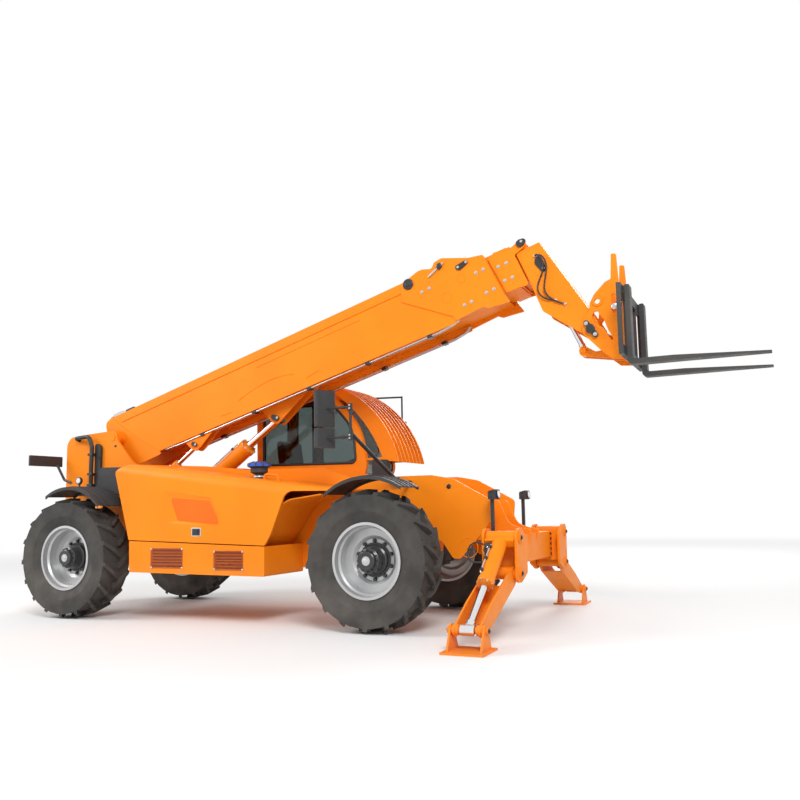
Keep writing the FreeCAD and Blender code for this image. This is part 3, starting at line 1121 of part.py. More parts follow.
def front_guard():
    """Curved guard of bars over the windscreen, from the roof's front edge down to its lower tip."""
    bars = []
    count = 8
    for index in range(count):
        y = CAB_INNER_Y + 20.0 + index * (CAB_OUTER_Y - CAB_INNER_Y - 60.0) / (count - 1)
        arc_out = Part.Arc(Vector(-1330.0, y, 2725.0), Vector(-700.0, y, 2330.0), Vector(-400.0, y, 1735.0)).toShape()
        down = Part.LineSegment(Vector(-400.0, y, 1735.0), Vector(-600.0, y, 1760.0)).toShape()
        arc_in = Part.Arc(Vector(-600.0, y, 1760.0), Vector(-850.0, y, 2220.0), Vector(-1330.0, y, 2650.0)).toShape()
        close = Part.LineSegment(Vector(-1330.0, y, 2650.0), Vector(-1330.0, y, 2725.0)).toShape()
        face = Part.Face(Part.Wire([arc_out, down, arc_in, close]))
        bars.append(face.extrude(Vector(0, 22.0, 0)))
    low, high = CAB_INNER_Y + 20.0, CAB_OUTER_Y - 18.0
    bars.append(block(-640.0, -600.0, low, high, 1765.0, 1805.0))
    bars.append(block(-1345.0, -1310.0, low, high, 2660.0, 2700.0))
    for y in (low, high - 40.0):
        bars.append(block(-960.0, -610.0, y, y + 40.0, 1770.0, 1796.0))
        bars.append(block(-1560.0, -1315.0, y, y + 40.0, 2600.0, 2722.0))
    cab = slab_y(CAB_OUTLINE, CAB_INNER_Y, CAB_OUTER_Y).translate(Vector(SEAT, 0, SEAT))
    guard = fused(bars).cut(cab)
    return max(guard.Solids, key=lambda solid: solid.Volume)


def seat():
    y0, y1 = 560.0, 1010.0
    cushion = slab_y([(-2130.0, 1330.0, 40.0), (-1640.0, 1330.0, 50.0), (-1640.0, 1450.0, 50.0), (-2130.0, 1450.0, 30.0)],
                     y0, y1)
    back = slab_y([(-2150.0, 1440.0, 30.0), (-2030.0, 1440.0, 30.0), (-2130.0, 2080.0, 50.0), (-2230.0, 2080.0, 50.0)],
                  y0 + 15.0, y1 - 15.0)
    base = block(-2080.0, -1700.0, y0 + 60.0, y1 - 60.0, 985.0 + CAB_WALL, 1335.0)
    return fused([cushion, back, base])


def control_console():
    floor = 985.0 + CAB_WALL
    dash = slab_y([(-1160.0, floor), (-1050.0, floor), (-1000.0, floor + 50.0), (-985.0, 1480.0), (-900.0, 1620.0, 30.0), (-1090.0, 1640.0, 50.0),
                   (-1160.0, 1450.0, 60.0)], 470.0, 1090.0)
    column = rod_between((-1120.0, 785.0, 1450.0), (-1290.0, 785.0, 1720.0), 32.0)
    ring = Part.makeTorus(180.0, 15.0, Vector(-1290.0, 785.0, 1720.0), Vector(-0.53, 0.0, 0.85))
    spokes = Part.makeCylinder(185.0, 10.0, Vector(-1290.0, 785.0, 1716.0), Vector(-0.53, 0.0, 0.85))
    return fused([dash, column, ring, spokes])


def side_tank():
    """Tank and step box under the cab, on the left."""
    low_x, high_x = AXLES["rear"] + 925.0, AXLES["rear"] + 805.0
    body = slab_y([(low_x, 560.0, 60.0), (-1250.0, 560.0, 60.0), (-1250.0, 930.0, 60.0), (low_x, 930.0, 60.0)],
                  POD_INNER_Y, TANK_OUTER_Y)
    rear = slab_y([(high_x, 985.0, 60.0), (CAB_REAR_X - 40.0, 985.0, 40.0), (CAB_REAR_X - 40.0, 1560.0, 60.0),
                   (high_x, 1640.0, 120.0)], POD_INNER_Y, TANK_OUTER_Y)
    step = block(-1800.0, -1350.0, TANK_OUTER_Y, TANK_OUTER_Y + 100.0, 600.0, 625.0)
    bracket = block(low_x + 50.0, CAB_REAR_X - 100.0, POD_INNER_Y, TANK_OUTER_Y - 80.0, 925.0, 990.0)
    return fused([body, rear, step, bracket])


def mudguards():
    guards = []
    inner, outer = 790.0, 1215.0
    # columns: axle, rear end x, z, top x, z, front end x, z
    table = (("front", -440.0, 1352.0, -30.0, 1512.0, 400.0, 1402.0),
             ("rear", -290.0, 1412.0, 110.0, 1512.0, 545.0, 1290.0))
    for axle, x0, z0, xm, zm, x1, z1 in table:
        x = AXLES[axle]
        for side in SIDES.values():
            low, high = sorted((side * inner, side * outer))

            def blade(y0, y1, rise, thick):
                """Strip of the guard from y0 to y1, its top raised, with its thickness downwards."""
                a, b, c = [Vector(x + dx, y0, z + rise) for dx, z in ((x0, z0), (xm, zm), (x1, z1))]
                fall = Vector(0, 0, thick)
                edges = [Part.Arc(a, b, c).toShape(), Part.LineSegment(c, c - fall).toShape(),
                         Part.Arc(c - fall, b - fall, a - fall).toShape(), Part.LineSegment(a - fall, a).toShape()]
                return Part.Face(Part.Wire(edges)).extrude(Vector(0, y1 - y0, 0))

            parts = [blade(low, high, 0.0, 12.0)]
            for edge in (low, high - 14.0):
                parts.append(blade(edge, edge + 14.0, 0.0, 34.0))
            for step in range(4):
                middle = low + (high - low) * (step + 1) / 5.0
                parts.append(blade(middle - 11.0, middle + 11.0, 9.0, 15.0))
            carrier = FRAME_HALF if axle == "front" else SIDE_BOX_OUTER_Y
            mount = x + (120.0 if axle == "front" else -120.0)
            height = 1462.0 if axle == "front" else 1460.0
            arm = sorted((side * (carrier + SEAT), side * (inner + 60.0)))
            parts.append(pin_y(mount, height, arm[0], arm[1], 20.0))
            guards.append(fused(parts))
    return group(guards)


MIRROR_TURN = 60.0          # degrees from the direction of travel to the face of the right-hand mirrors


def mirrors():
    groups = []
    x, y, z = -425.0, -1215.0, 2090.0
    heads = []
    for low, high in ((2012.0, 2378.0), (1803.0, 1998.0)):
        head = slab_z([(x - 115.0, y - 28.0, 26.0), (x + 115.0, y - 28.0, 26.0), (x + 115.0, y + 28.0, 26.0),
                       (x - 115.0, y + 28.0, 26.0)], low, high)
        head.rotate(Vector(x, y, 0), Vector(0, 0, 1), MIRROR_TURN)
        heads += [head, rod_between((x + 5.0, y, (low + high) / 2.0), (-130.0, y, (low + high) / 2.0), 12.0)]
    arm = fused(heads + [
                 rod_between((-130.0, y, z + 120.0), (-130.0, y, z - 200.0), 14.0),
                 rod_between((-130.0, y, z - 150.0), (-40.0, -FRAME_HALF - 30.0, 1500.0), 20.0),
                 block(-80.0, 0.0, -FRAME_HALF - 50.0, -FRAME_HALF - 0.3, 1440.0, 1520.0)])
    groups.append(arm)
    x, y, z = -800.0, 1350.0, 2170.0
    head = slab_z([(x - 28.0, y - 90.0, 20.0), (x + 28.0, y - 90.0, 20.0), (x + 28.0, y + 90.0, 20.0),
                   (x - 28.0, y + 90.0, 20.0)], z - 170.0, z + 150.0)
    height = DOOR_HEAD_Z + 40.0
    foot = block(-1620.0, -1460.0, CAB_OUTER_Y + SEAT, CAB_OUTER_Y + 12.0, height - 16.0, height + 16.0)
    arm = fused([head, foot, rod_between((x, y, z + 120.0), (x, y, height + 11.0), 11.0),
                 rod_between((x, y, height), (-1480.0, CAB_OUTER_Y + 6.0, height), 11.0),
                 rod_between((x, y, height), (-1600.0, CAB_OUTER_Y + 6.0, height), 11.0)])
    arm = arm.cut(block(-1700.0, -1300.0, CAB_OUTER_Y - 60.0, CAB_OUTER_Y + SEAT, height - 40.0, height + 40.0))
    groups.append(arm)
    return group(groups)


def work_lights():
    lamps = []
    for side in SIDES.values():
        y = side * 509.0
        beam_top = BEAM_Z[1] + SEAT
        post = fused([block(1055.0, 1085.0, y - 18.0, y + 18.0, beam_top, 1270.0),
                      block(1055.0, LEG_X - 60.0, y - 40.0, y + 40.0, beam_top, beam_top + 12.0)])
        head = slab_y([(1045.0, 1262.0, 12.0), (1130.0, 1262.0, 12.0), (1130.0, 1365.0, 12.0), (1045.0, 1345.0, 20.0)],
                      y - 60.0, y + 60.0)
        lamps.append(fused([post, head]))
    return group(lamps)


def tail_lights():
    boards = []
    for side in SIDES.values():
        low, high = sorted((side * 420.0, side * 920.0))
        board = block(TAIL_X - 65.0, TAIL_X - 35.0, low, high, 1812.0, 1945.0)
        elbow = (TAIL_X + 30.0, side * (FRAME_HALF + 55.0), 1640.0)
        arm = fused([rod_between((TAIL_X - 40.0, side * (FRAME_HALF + 115.0), 1830.0), elbow, 16.0),
                     rod_between(elbow, (TAIL_X + 100.0, side * (FRAME_HALF - 10.0), 1600.0), 16.0)])
        frame = block(TAIL_X - 200.0, TAIL_X + 400.0, -FRAME_HALF - SEAT, FRAME_HALF + SEAT, 1400.0, 2000.0)
        boards.append(fused([board, arm]).cut(frame))
    return group(boards)


SIDE_BOX_OUTER_Y = 770.0


def rear_side_boxes():
    """Shelf behind each rear wheel arch, with the taller box against the hood."""
    boxes = []
    x = AXLES["rear"]
    for side in SIDES.values():
        low, high = sorted((side * (FRAME_HALF + SEAT), side * SIDE_BOX_OUTER_Y))
        boxes.append(slab_y([(x - 585.0, 1425.0, 20.0), (x + 625.0, 1425.0, 40.0), (x + 625.0, 1640.0, 50.0),
                             (x + 520.0, 1745.0, 40.0), (x + 95.0, 1755.0, 40.0), (x + 70.0, 1560.0, 30.0),
                             (x + 20.0, 1500.0, 40.0), (x - 585.0, 1490.0, 20.0)], low, high))
    return group(boxes)


def build():
    pieces["chassis_frame"] = chassis_frame()
    pieces["front_crossbeam"] = front_crossbeam()
    pieces["axles"] = axles()
    pieces["engine_block"] = engine_block()
    pieces["engine_pod"] = engine_pod()
    pieces["wheel_arch_liner"] = wheel_arch_liner()
    pieces["cab_shell"] = cab_shell()
    pieces["cab_glass"] = cab_glass()
    pieces["front_guard"] = front_guard()
    pieces["seat"] = seat()
    pieces["control_console"] = control_console()
    pieces["side_tank"] = side_tank()
    pieces["mudguards"] = mudguards()
    pieces["mirrors"] = mirrors()
    pieces["work_lights"] = work_lights()
    pieces["tail_lights"] = tail_lights()
    pieces["rear_side_boxes"] = rear_side_boxes()
    pieces["engine_hood"] = engine_hood()
    pieces["air_precleaner"] = air_precleaner()
    pieces["cab_door"] = cab_door()
    pieces["cab_door_glass"] = cab_door_glass()
    for axle, axle_x in AXLES.items():
        for name, side in SIDES.items():
            pieces[f"knuckle_{axle}_{name}"] = knuckle(axle_x, side)
            pieces[f"tyre_{axle}_{name}"] = tyre(axle_x, side)
            pieces[f"wheel_{axle}_{name}"] = wheel(axle_x, side)
    pieces["boom_outer"] = on_boom(boom_outer())
    pieces["boom_mid"] = on_boom(boom_mid())
    pieces["boom_inner"] = on_boom(boom_inner())
    pieces["lift_barrel"] = cylinder_barrel(LIFT_BASE, LIFT_EYE, "xz", 0.0, 98.0, LIFT_BARREL_LENGTH, 84.0,
                                            LIFT_EYE_HALF, LIFT_PIN_RADIUS, 45.0)
    pieces["lift_rod"] = cylinder_rod(LIFT_BASE, LIFT_EYE, "xz", 0.0, 45.0, 600.0, LIFT_EYE_RADIUS,
                                      LIFT_EYE_HALF, None)
    pieces["compensation_barrel"] = cylinder_barrel(COMPENSATION_BASE, COMPENSATION_EYE, "xz", COMPENSATION_Y, 48.0,
                                                    COMPENSATION_BARREL_LENGTH, 48.0, COMPENSATION_EYE_HALF,
                                                    COMPENSATION_PIN_RADIUS, 26.0)
    pieces["compensation_rod"] = cylinder_rod(COMPENSATION_BASE, COMPENSATION_EYE, "xz", COMPENSATION_Y, 26.0, 380.0,
                                              COMPENSATION_EYE_RADIUS, COMPENSATION_EYE_HALF, None)
    pieces["tilt_barrel"] = cylinder_barrel(TILT_BASE, TILT_EYE, "xz", 0.0, 58.0, TILT_BARREL_LENGTH, 52.0,
                                            TILT_EYE_HALF, TILT_PIN_RADIUS, 30.0)
    pieces["tilt_rod"] = cylinder_rod(TILT_BASE, TILT_EYE, "xz", 0.0, 30.0, 380.0, TILT_EYE_RADIUS,
                                      TILT_EYE_HALF - 8.0, None)
    pieces["coupler"] = coupler()
    pieces["fork_carriage"] = fork_carriage()
    pieces["forks"] = forks()
    for name, side in SIDES.items():
        pieces[f"stabiliser_leg_{name}"] = stabiliser_leg(side)
        pieces[f"stabiliser_barrel_{name}"] = stabiliser_barrel(side)
        pieces[f"stabiliser_rod_{name}"] = stabiliser_rod(side)
        pieces[f"stabiliser_foot_{name}"] = stabiliser_foot(side)


build()
whole = Part.makeCompound(list(pieces.values())).BoundBox
SHIFT_X = -(whole.XMin + whole.XMax) / 2.0

if __name__ == "__main__":
    os.makedirs("parts", exist_ok=True)
    for node, shape in pieces.items():
        moved = shape.copy()
        moved.Placement = Placement(Vector(SHIFT_X, 0, 0), Rotation()).multiply(moved.Placement)
        moved.exportStep(f"parts/{node}.step")
    print("nodes", len(pieces), "shift", round(SHIFT_X, 3), "box", whole)
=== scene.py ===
import bmesh
import bpy
import math
from mathutils import Matrix, Vector


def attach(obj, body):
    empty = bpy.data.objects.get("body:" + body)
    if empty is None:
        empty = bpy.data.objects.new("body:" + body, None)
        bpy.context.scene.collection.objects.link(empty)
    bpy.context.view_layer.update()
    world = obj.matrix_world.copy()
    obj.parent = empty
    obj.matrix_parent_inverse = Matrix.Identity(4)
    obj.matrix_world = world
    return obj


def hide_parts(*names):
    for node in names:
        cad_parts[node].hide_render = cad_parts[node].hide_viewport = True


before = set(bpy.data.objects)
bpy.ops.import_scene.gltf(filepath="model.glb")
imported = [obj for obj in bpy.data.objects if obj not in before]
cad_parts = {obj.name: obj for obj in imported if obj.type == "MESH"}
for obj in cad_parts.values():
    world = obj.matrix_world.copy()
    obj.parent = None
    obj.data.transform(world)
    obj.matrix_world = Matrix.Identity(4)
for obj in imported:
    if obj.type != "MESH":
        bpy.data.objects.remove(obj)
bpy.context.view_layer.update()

# The camera stands where the photographer stood: to the right of the machine and ahead of
# its front axle, at chest height, tipped up a little and turned towards the rear.
FRONT_AXLE_X = 0.6135
eye = Vector((3.74617 + FRONT_AXLE_X, -8.10150, 1.19728))
yaw, pitch, roll = math.radians(-24.123), math.radians(6.290), math.radians(-1.126)
ahead = Vector((math.sin(yaw) * math.cos(pitch), math.cos(yaw) * math.cos(pitch), math.sin(pitch)))
level = Vector((math.cos(yaw), -math.sin(yaw), 0.0))
upright = level.cross(ahead)
right = math.cos(roll) * level + math.sin(roll) * upright
up = math.cos(roll) * upright - math.sin(roll) * level
camera_data = bpy.data.cameras.new("camera")
camera_data.sensor_width = 36.0
camera_data.lens = 36.0 * 805.11 / 800.0
camera_data.shift_x = -(423.99 - 400.0) / 800.0
camera_data.shift_y = (418.53 - 400.0) / 800.0
camera_data.clip_end = 200.0
camera = bpy.data.objects.new("camera", camera_data)
turn = Matrix((right, up, -ahead)).transposed()
camera.matrix_world = Matrix.Translation(eye) @ turn.to_4x4()
bpy.context.scene.collection.objects.link(camera)
bpy.context.scene.camera = camera
bpy.context.scene.view_settings.view_transform = "Standard"

# Pale studio floor under the machine, which runs out into a white surround.
# It takes the machine's soft shadow, and mirrors and glass see the same white.
FLOOR_GREY, FADE_START, FADE_END = 0.80, 5.0, 22.0
reach = 60.0
floor_mesh = bpy.data.meshes.new("floor")
floor_mesh.from_pydata([(-reach, -reach, 0), (reach, -reach, 0), (reach, reach, 0),
                        (-reach, reach, 0)], [], [(0, 1, 2, 3)])
floor = bpy.data.objects.new("floor", floor_mesh)
bpy.context.scene.collection.objects.link(floor)


def joined(tree, operation, first, second):
    """Two sockets, or a socket and a number, put together by a Math node."""
    node = tree.nodes.new("ShaderNodeMath")
    node.operation = operation
    for socket, source in zip(node.inputs, (first, second)):
        if isinstance(source, float):
            socket.default_value = source
        else:
            tree.links.new(source, socket)
    return node.outputs[0]


def seen_by(tree, *rays):
    """1 for the kinds of ray named, else 0."""
    paths = tree.nodes.new("ShaderNodeLightPath")
    seen = paths.outputs[rays[0]]
    for ray in rays[1:]:
        seen = joined(tree, "MAXIMUM", seen, paths.outputs[ray])
    return seen


def spread(tree, value, low, high, to_low, to_high):
    """Stretch a value from one range to another, held at the ends."""
    node = tree.nodes.new("ShaderNodeMapRange")
    node.inputs["From Min"].default_value = low
    node.inputs["From Max"].default_value = high
    node.inputs["To Min"].default_value = to_low
    node.inputs["To Max"].default_value = to_high
    tree.links.new(value, node.inputs["Value"])
    return node.outputs["Result"]


floor_finish = bpy.data.materials.new("pale_floor")
floor_finish.use_nodes = True
floor_tree = floor_finish.node_tree
floor_shader = floor_tree.nodes["Principled BSDF"]
floor_shader.inputs["Base Color"].default_value = (FLOOR_GREY, FLOOR_GREY, FLOOR_GREY, 1)
floor_shader.inputs["Roughness"].default_value = 0.9
floor_place = floor_tree.nodes.new("ShaderNodeTexCoord")
distance = floor_tree.nodes.new("ShaderNodeVectorMath")
distance.operation = "LENGTH"
floor_tree.links.new(floor_place.outputs["Object"], distance.inputs[0])
far_share = spread(floor_tree, distance.outputs["Value"], FADE_START, FADE_END, 0.0, 1.0)
looks = seen_by(floor_tree, "Is Camera Ray", "Is Glossy Ray", "Is Transmission Ray")
white = floor_tree.nodes.new("ShaderNodeEmission")
merge = floor_tree.nodes.new("ShaderNodeMixShader")
floor_tree.links.new(joined(floor_tree, "MULTIPLY", far_share, looks), merge.inputs["Fac"])
floor_tree.links.new(floor_shader.outputs["BSDF"], merge.inputs[1])
floor_tree.links.new(white.outputs["Emission"], merge.inputs[2])
floor_tree.links.new(merge.outputs["Shader"], floor_tree.nodes["Material Output"].inputs["Surface"])
floor_mesh.materials.append(floor_finish)

world = bpy.data.worlds.new("studio")
bpy.context.scene.world = world
world.use_nodes = True
sky = world.node_tree
background = sky.nodes["Background"]
background.inputs["Color"].default_value = (1, 1, 1, 1)
sky_looks = seen_by(sky, "Is Camera Ray", "Is Transmission Ray", "Is Glossy Ray")
sky.links.new(spread(sky, sky_looks, 0.0, 1.0, 0.55, 1.0), background.inputs["Strength"])

# Three soft lamps: the key stands where the sun stood, high on the machine's right and
# ahead of it, and two weaker ones lift the shaded rear and the far side.
lamps = (("key_lamp", (9.0, -13.0, 13.0), (-0.5, 0.0, 1.2), 6.0, 2450.0),
         ("rear_lamp", (-11.0, -6.0, 8.0), (-1.0, 0.0, 1.5), 6.0, 800.0),
         ("far_lamp", (0.0, 13.0, 9.0), (0.0, 0.0, 1.0), 7.0, 900.0))
for name, place, aim, size, power in lamps:
    lamp_data = bpy.data.lights.new(name, "AREA")
    lamp_data.size = size
    lamp_data.energy = power
    lamp = bpy.data.objects.new(name, lamp_data)
    lamp.location = place
    lamp.rotation_euler = (Vector(aim) - Vector(place)).to_track_quat("-Z", "Y").to_euler()
    bpy.context.scene.collection.objects.link(lamp)


# Orange steelwork: frame, boom, crossbeam, legs and sheet-metal covers share one sprayed
# enamel. It has a fine orange peel, a slow change of shade, and road dust low down.
def noise(tree, scale, detail=4.0, offset=(0, 0, 0)):
    """Cloudy pattern fixed to the object, from 0 to 1."""
    coordinates = tree.nodes.new("ShaderNodeTexCoord")
    mapping = tree.nodes.new("ShaderNodeMapping")
    mapping.inputs["Location"].default_value = offset
    texture = tree.nodes.new("ShaderNodeTexNoise")
    texture.inputs["Scale"].default_value = scale
    texture.inputs["Detail"].default_value = detail
    tree.links.new(coordinates.outputs["Object"], mapping.inputs["Vector"])
    tree.links.new(mapping.outputs["Vector"], texture.inputs["Vector"])
    return texture.outputs["Fac"]


def blend_colours(tree, factor, first, second):
    """Mix of two colours, each given as numbers or as a socket."""
    node = tree.nodes.new("ShaderNodeMix")
    node.data_type = "RGBA"
    tree.links.new(factor, node.inputs["Factor"])
    for socket, colour in (("A", first), ("B", second)):
        target = [i for i in node.inputs if i.name == socket and i.type == "RGBA"][0]
        if isinstance(colour, tuple):
            target.default_value = colour + (1,)
        else:
            tree.links.new(colour, target)
    return [o for o in node.outputs if o.type == "RGBA"][0]


def dust(tree, top):
    """Share of dust on a surface: most near the ground, none above top metres."""
    coordinates = tree.nodes.new("ShaderNodeTexCoord")
    split = tree.nodes.new("ShaderNodeSeparateXYZ")
    tree.links.new(coordinates.outputs["Object"], split.inputs[0])
    low = spread(tree, split.outputs["Z"], 0.0, top, 1.0, 0.0)
    patches = spread(tree, noise(tree, 3.0, 6.0), 0.35, 0.7, 0.15, 1.0)
    return joined(tree, "MULTIPLY", low, patches)


def finish(name, colour, second, roughness, metallic=0.0, coat=0.0, grain=40.0, bump=0.05,
           dusty=0.0, dust_top=1.2, dust_colour=(0.30, 0.25, 0.19), depth=0.002, specular=0.5):
    """A material with two close shades, varied gloss, a fine bump and, low down, dust."""
    material = bpy.data.materials.new(name)
    material.use_nodes = True
    tree = material.node_tree
    shader = tree.nodes["Principled BSDF"]
    shade = spread(tree, noise(tree, 1.7, 3.0), 0.35, 0.65, 0.0, 1.0)
    result = blend_colours(tree, shade, colour, second)
    if dusty > 0.0:
        share = joined(tree, "MULTIPLY", dust(tree, dust_top), dusty)
        result = blend_colours(tree, share, result, dust_colour)
    tree.links.new(result, shader.inputs["Base Color"])
    gloss = spread(tree, noise(tree, 9.0, 5.0, (3, 1, 2)), 0.3, 0.7, roughness * 0.85,
                   min(roughness * 1.25, 1.0))
    tree.links.new(gloss, shader.inputs["Roughness"])
    shader.inputs["Metallic"].default_value = metallic
    shader.inputs["Coat Weight"].default_value = coat
    shader.inputs["Specular IOR Level"].default_value = specular
    shader.inputs["Coat Roughness"].default_value = 0.12
    relief = tree.nodes.new("ShaderNodeBump")
    relief.inputs["Strength"].default_value = bump
    relief.inputs["Distance"].default_value = depth
    tree.links.new(noise(tree, grain, 3.0), relief.inputs["Height"])
    tree.links.new(relief.outputs["Normal"], shader.inputs["Normal"])
    return material


def dress(material, *names):
    """Give a material to the solid model's pieces."""
    for name in names:
        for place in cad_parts[name].material_slots:
            place.material = material


orange_enamel = finish("orange_enamel", (0.90, 0.245, 0.007), (0.86, 0.222, 0.006), 0.44, coat=0.03,
                       grain=160.0, bump=0.04, dusty=0.25, dust_top=0.7, specular=0.18)
dress(orange_enamel, "chassis_frame", "front_crossbeam", "engine_pod", "wheel_arch_liner",
      "cab_shell", "front_guard", "side_tank", "engine_hood", "cab_door", "boom_outer", "boom_mid",
      "boom_inner", "coupler", "lift_barrel", "compensation_barrel", "tilt_barrel",
      "stabiliser_leg_left", "stabiliser_leg_right", "stabiliser_foot_left",
      "stabiliser_foot_right", "stabiliser_barrel_left", "stabiliser_barrel_right")

# Running gear below: axle beams, knuckles and engine are dark and dull, with grease and dust.
# Cast surfaces have a coarse skin.
axle_black = finish("axle_black", (0.030, 0.030, 0.032), (0.055, 0.052, 0.050), 0.62, grain=90.0,
                    bump=0.25, dusty=0.5, dust_top=1.1)
dress(axle_black, "axles", "knuckle_front_left", "knuckle_front_right", "knuckle_rear_left",
      "knuckle_rear_right")
engine_grey = finish("engine_grey", (0.16, 0.17, 0.18), (0.10, 0.10, 0.11), 0.7, metallic=0.4,
                     grain=70.0, bump=0.3, dusty=0.3)
dress(engine_grey, "engine_block")

# Silver wheels: each rim is rolled from steel and welded to a pressed disc, and both are sprayed
# matt silver. Dust gathers inside the barrel.
wheel_silver = finish("wheel_silver", (0.56, 0.57, 0.58), (0.48, 0.49, 0.50), 0.38, metallic=0.55,
                      grain=120.0, bump=0.06, dusty=0.35, dust_top=1.3)
dress(wheel_silver, *["wheel_%s_%s" % (axle, side) for axle in ("front", "rear")
                      for side in ("left", "right")])

# Tyres: black rubber with two rows of slanted lugs, seated on the beads of each rim. Dry dust
# greys the low places and the tread.
tyre_black = finish("tyre_black", (0.022, 0.021, 0.020), (0.040, 0.038, 0.035), 0.82, grain=220.0,
                    bump=0.18, dusty=0.55, dust_top=1.6, dust_colour=(0.16, 0.14, 0.12))
dress(tyre_black, *["tyre_%s_%s" % (axle, side) for axle in ("front", "rear")
                    for side in ("left", "right")])

# Moulded black parts: mudguards, mirror shells, lamp bodies, side boxes and the console in the
# cab are plastic with a grained skin, screwed to the steelwork behind them.
moulded_black = finish("moulded_black", (0.018, 0.018, 0.019), (0.028, 0.028, 0.029), 0.55,
                       grain=420.0, bump=0.22, dusty=0.25, dust_top=1.8,
                       dust_colour=(0.14, 0.13, 0.12))
dress(moulded_black, "mudguards", "mirrors", "work_lights", "tail_lights", "rear_side_boxes",
      "control_console")

# Forks and their carriage: the forged tines hook onto a welded frame of rolled bars, and both
# have thin black paint.
fork_black = finish("fork_black", (0.035, 0.035, 0.037), (0.060, 0.055, 0.050), 0.5, metallic=0.3,
                    grain=60.0, bump=0.15)
dress(fork_black, "fork_carriage", "forks")

# Cylinder rods: steel bars in hard chrome, ground along the stroke, with a welded eye at the
# end.
rod_chrome = finish("rod_chrome", (0.80, 0.81, 0.82), (0.74, 0.75, 0.77), 0.12, metallic=1.0,
                    grain=500.0, bump=0.02)
dress(rod_chrome, "lift_rod", "compensation_rod", "tilt_rod", "stabiliser_rod_left",
      "stabiliser_rod_right")

# Seat: woven black cloth is stretched over foam pads, and the seat is screwed to the floor of
# the cab.
seat_cloth = finish("seat_cloth", (0.020, 0.021, 0.024), (0.035, 0.036, 0.040), 0.9, grain=700.0,
                    bump=0.5)
dress(seat_cloth, "seat")

# Window glass: toughened panes with a light green-grey tint, set in rubber in the cab shell and
# the door.
window_glass = bpy.data.materials.new("window_glass")
window_glass.use_nodes = True
glass_tree = window_glass.node_tree
glass_shader = glass_tree.nodes["Principled BSDF"]
glass_shader.inputs["Transmission Weight"].default_value = 1.0
glass_shader.inputs["IOR"].default_value = 1.45
glass_shader.inputs["Roughness"].default_value = 0.02
glass_shade = spread(glass_tree, noise(glass_tree, 2.0), 0.3, 0.7, 0.0, 1.0)
glass_tint = blend_colours(glass_tree, glass_shade, (0.24, 0.29, 0.28), (0.28, 0.33, 0.32))
glass_tree.links.new(glass_tint, glass_shader.inputs["Base Color"])
dress(window_glass, "cab_glass", "cab_door_glass")


# Wheel hubs: the planetary drive's cast cover stands out of each disc, painted black, and ten
# flanged nuts on black studs clamp the disc to it. A bright plug closes the cover's middle.
def at(x, y, z):
    """Place in the row of a point given in millimetres from under the front axle's middle."""
    return Vector((x / 1000.0 + FRONT_AXLE_X, y / 1000.0, z / 1000.0))


def turned(bench, rows, centre, axis, steps=40):
    """Closed solid of revolution; rows of distance along the axis and radius, in millimetres."""
    axis = Vector(axis).normalized()
    side = axis.orthogonal().normalized()
    third = axis.cross(side)
    rings = []
    for along, radius in rows:
        middle = centre + axis * (along / 1000.0)
        if radius == 0.0:
            rings.append([bench.verts.new(middle)])
            continue
        rings.append([])
        for step in range(steps):
            angle = math.tau * step / steps
            out = side * math.cos(angle) + third * math.sin(angle)
            rings[-1].append(bench.verts.new(middle + out * (radius / 1000.0)))
    for first, second in zip(rings, rings[1:]):
        for step in range(steps):
            after = (step + 1) % steps
            corners = [first[step % len(first)], first[after % len(first)],
                       second[after % len(second)], second[step % len(second)]]
            unique = []
            for corner in corners:
                if corner not in unique:
                    unique.append(corner)
            if len(unique) > 2:
                bench.faces.new(unique)
    return bench


def settle(name, body, bench, material, slot, bevel=0.0, crease=35.0):
    """Turn the bench's solids into one finished piece that rides on a body."""
    bmesh.ops.recalc_face_normals(bench, faces=bench.faces)
    mesh = bpy.data.meshes.new(name)
    bench.to_mesh(mesh)
    bench.free()
    mesh.materials.append(material)
    mesh.polygons.foreach_set("use_smooth", [True] * len(mesh.polygons))
    mesh.set_sharp_from_angle(angle=math.radians(crease))
    piece = bpy.data.objects.new(name, mesh)
    bpy.context.scene.collection.objects.link(piece)
    if bevel > 0.0:
        edge = piece.modifiers.new("edge", "BEVEL")
        edge.width = bevel / 1000.0
        edge.segments = 2
        edge.limit_method = "ANGLE"
        edge.angle_limit = math.radians(45)
    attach(piece, body)
    return piece


black_paint = finish("black_paint", (0.010, 0.010, 0.011), (0.016, 0.016, 0.017), 0.34, coat=0.3,
                     grain=120.0, bump=0.06, dusty=0.3, dust_top=1.2,
                     dust_colour=(0.12, 0.11, 0.10))
bright_zinc = finish("bright_zinc", (0.62, 0.63, 0.64), (0.54, 0.55, 0.56), 0.28, metallic=0.9,
                     grain=300.0, bump=0.05)
in_paint, in_zinc = (black_paint, "dark_steel"), (bright_zinc, "chrome_rod")


# Hex heads on round flanges, laid on a set of points by one tree: each turns to face the way
# its surface does. The sizes are the head's and the flange's.
def painted(tree, made, paint_name, result):
    """End of a tree: instances become real and take the piece's finish."""
    real = tree.nodes.new("GeometryNodeRealizeInstances")
    paint = tree.nodes.new("GeometryNodeSetMaterial")
    tree.links.new(made, real.inputs["Geometry"])
    tree.links.new(real.outputs["Geometry"], paint.inputs["Geometry"])
    tree.links.new(paint_name, paint.inputs["Material"])
    tree.links.new(paint.outputs["Geometry"], result)


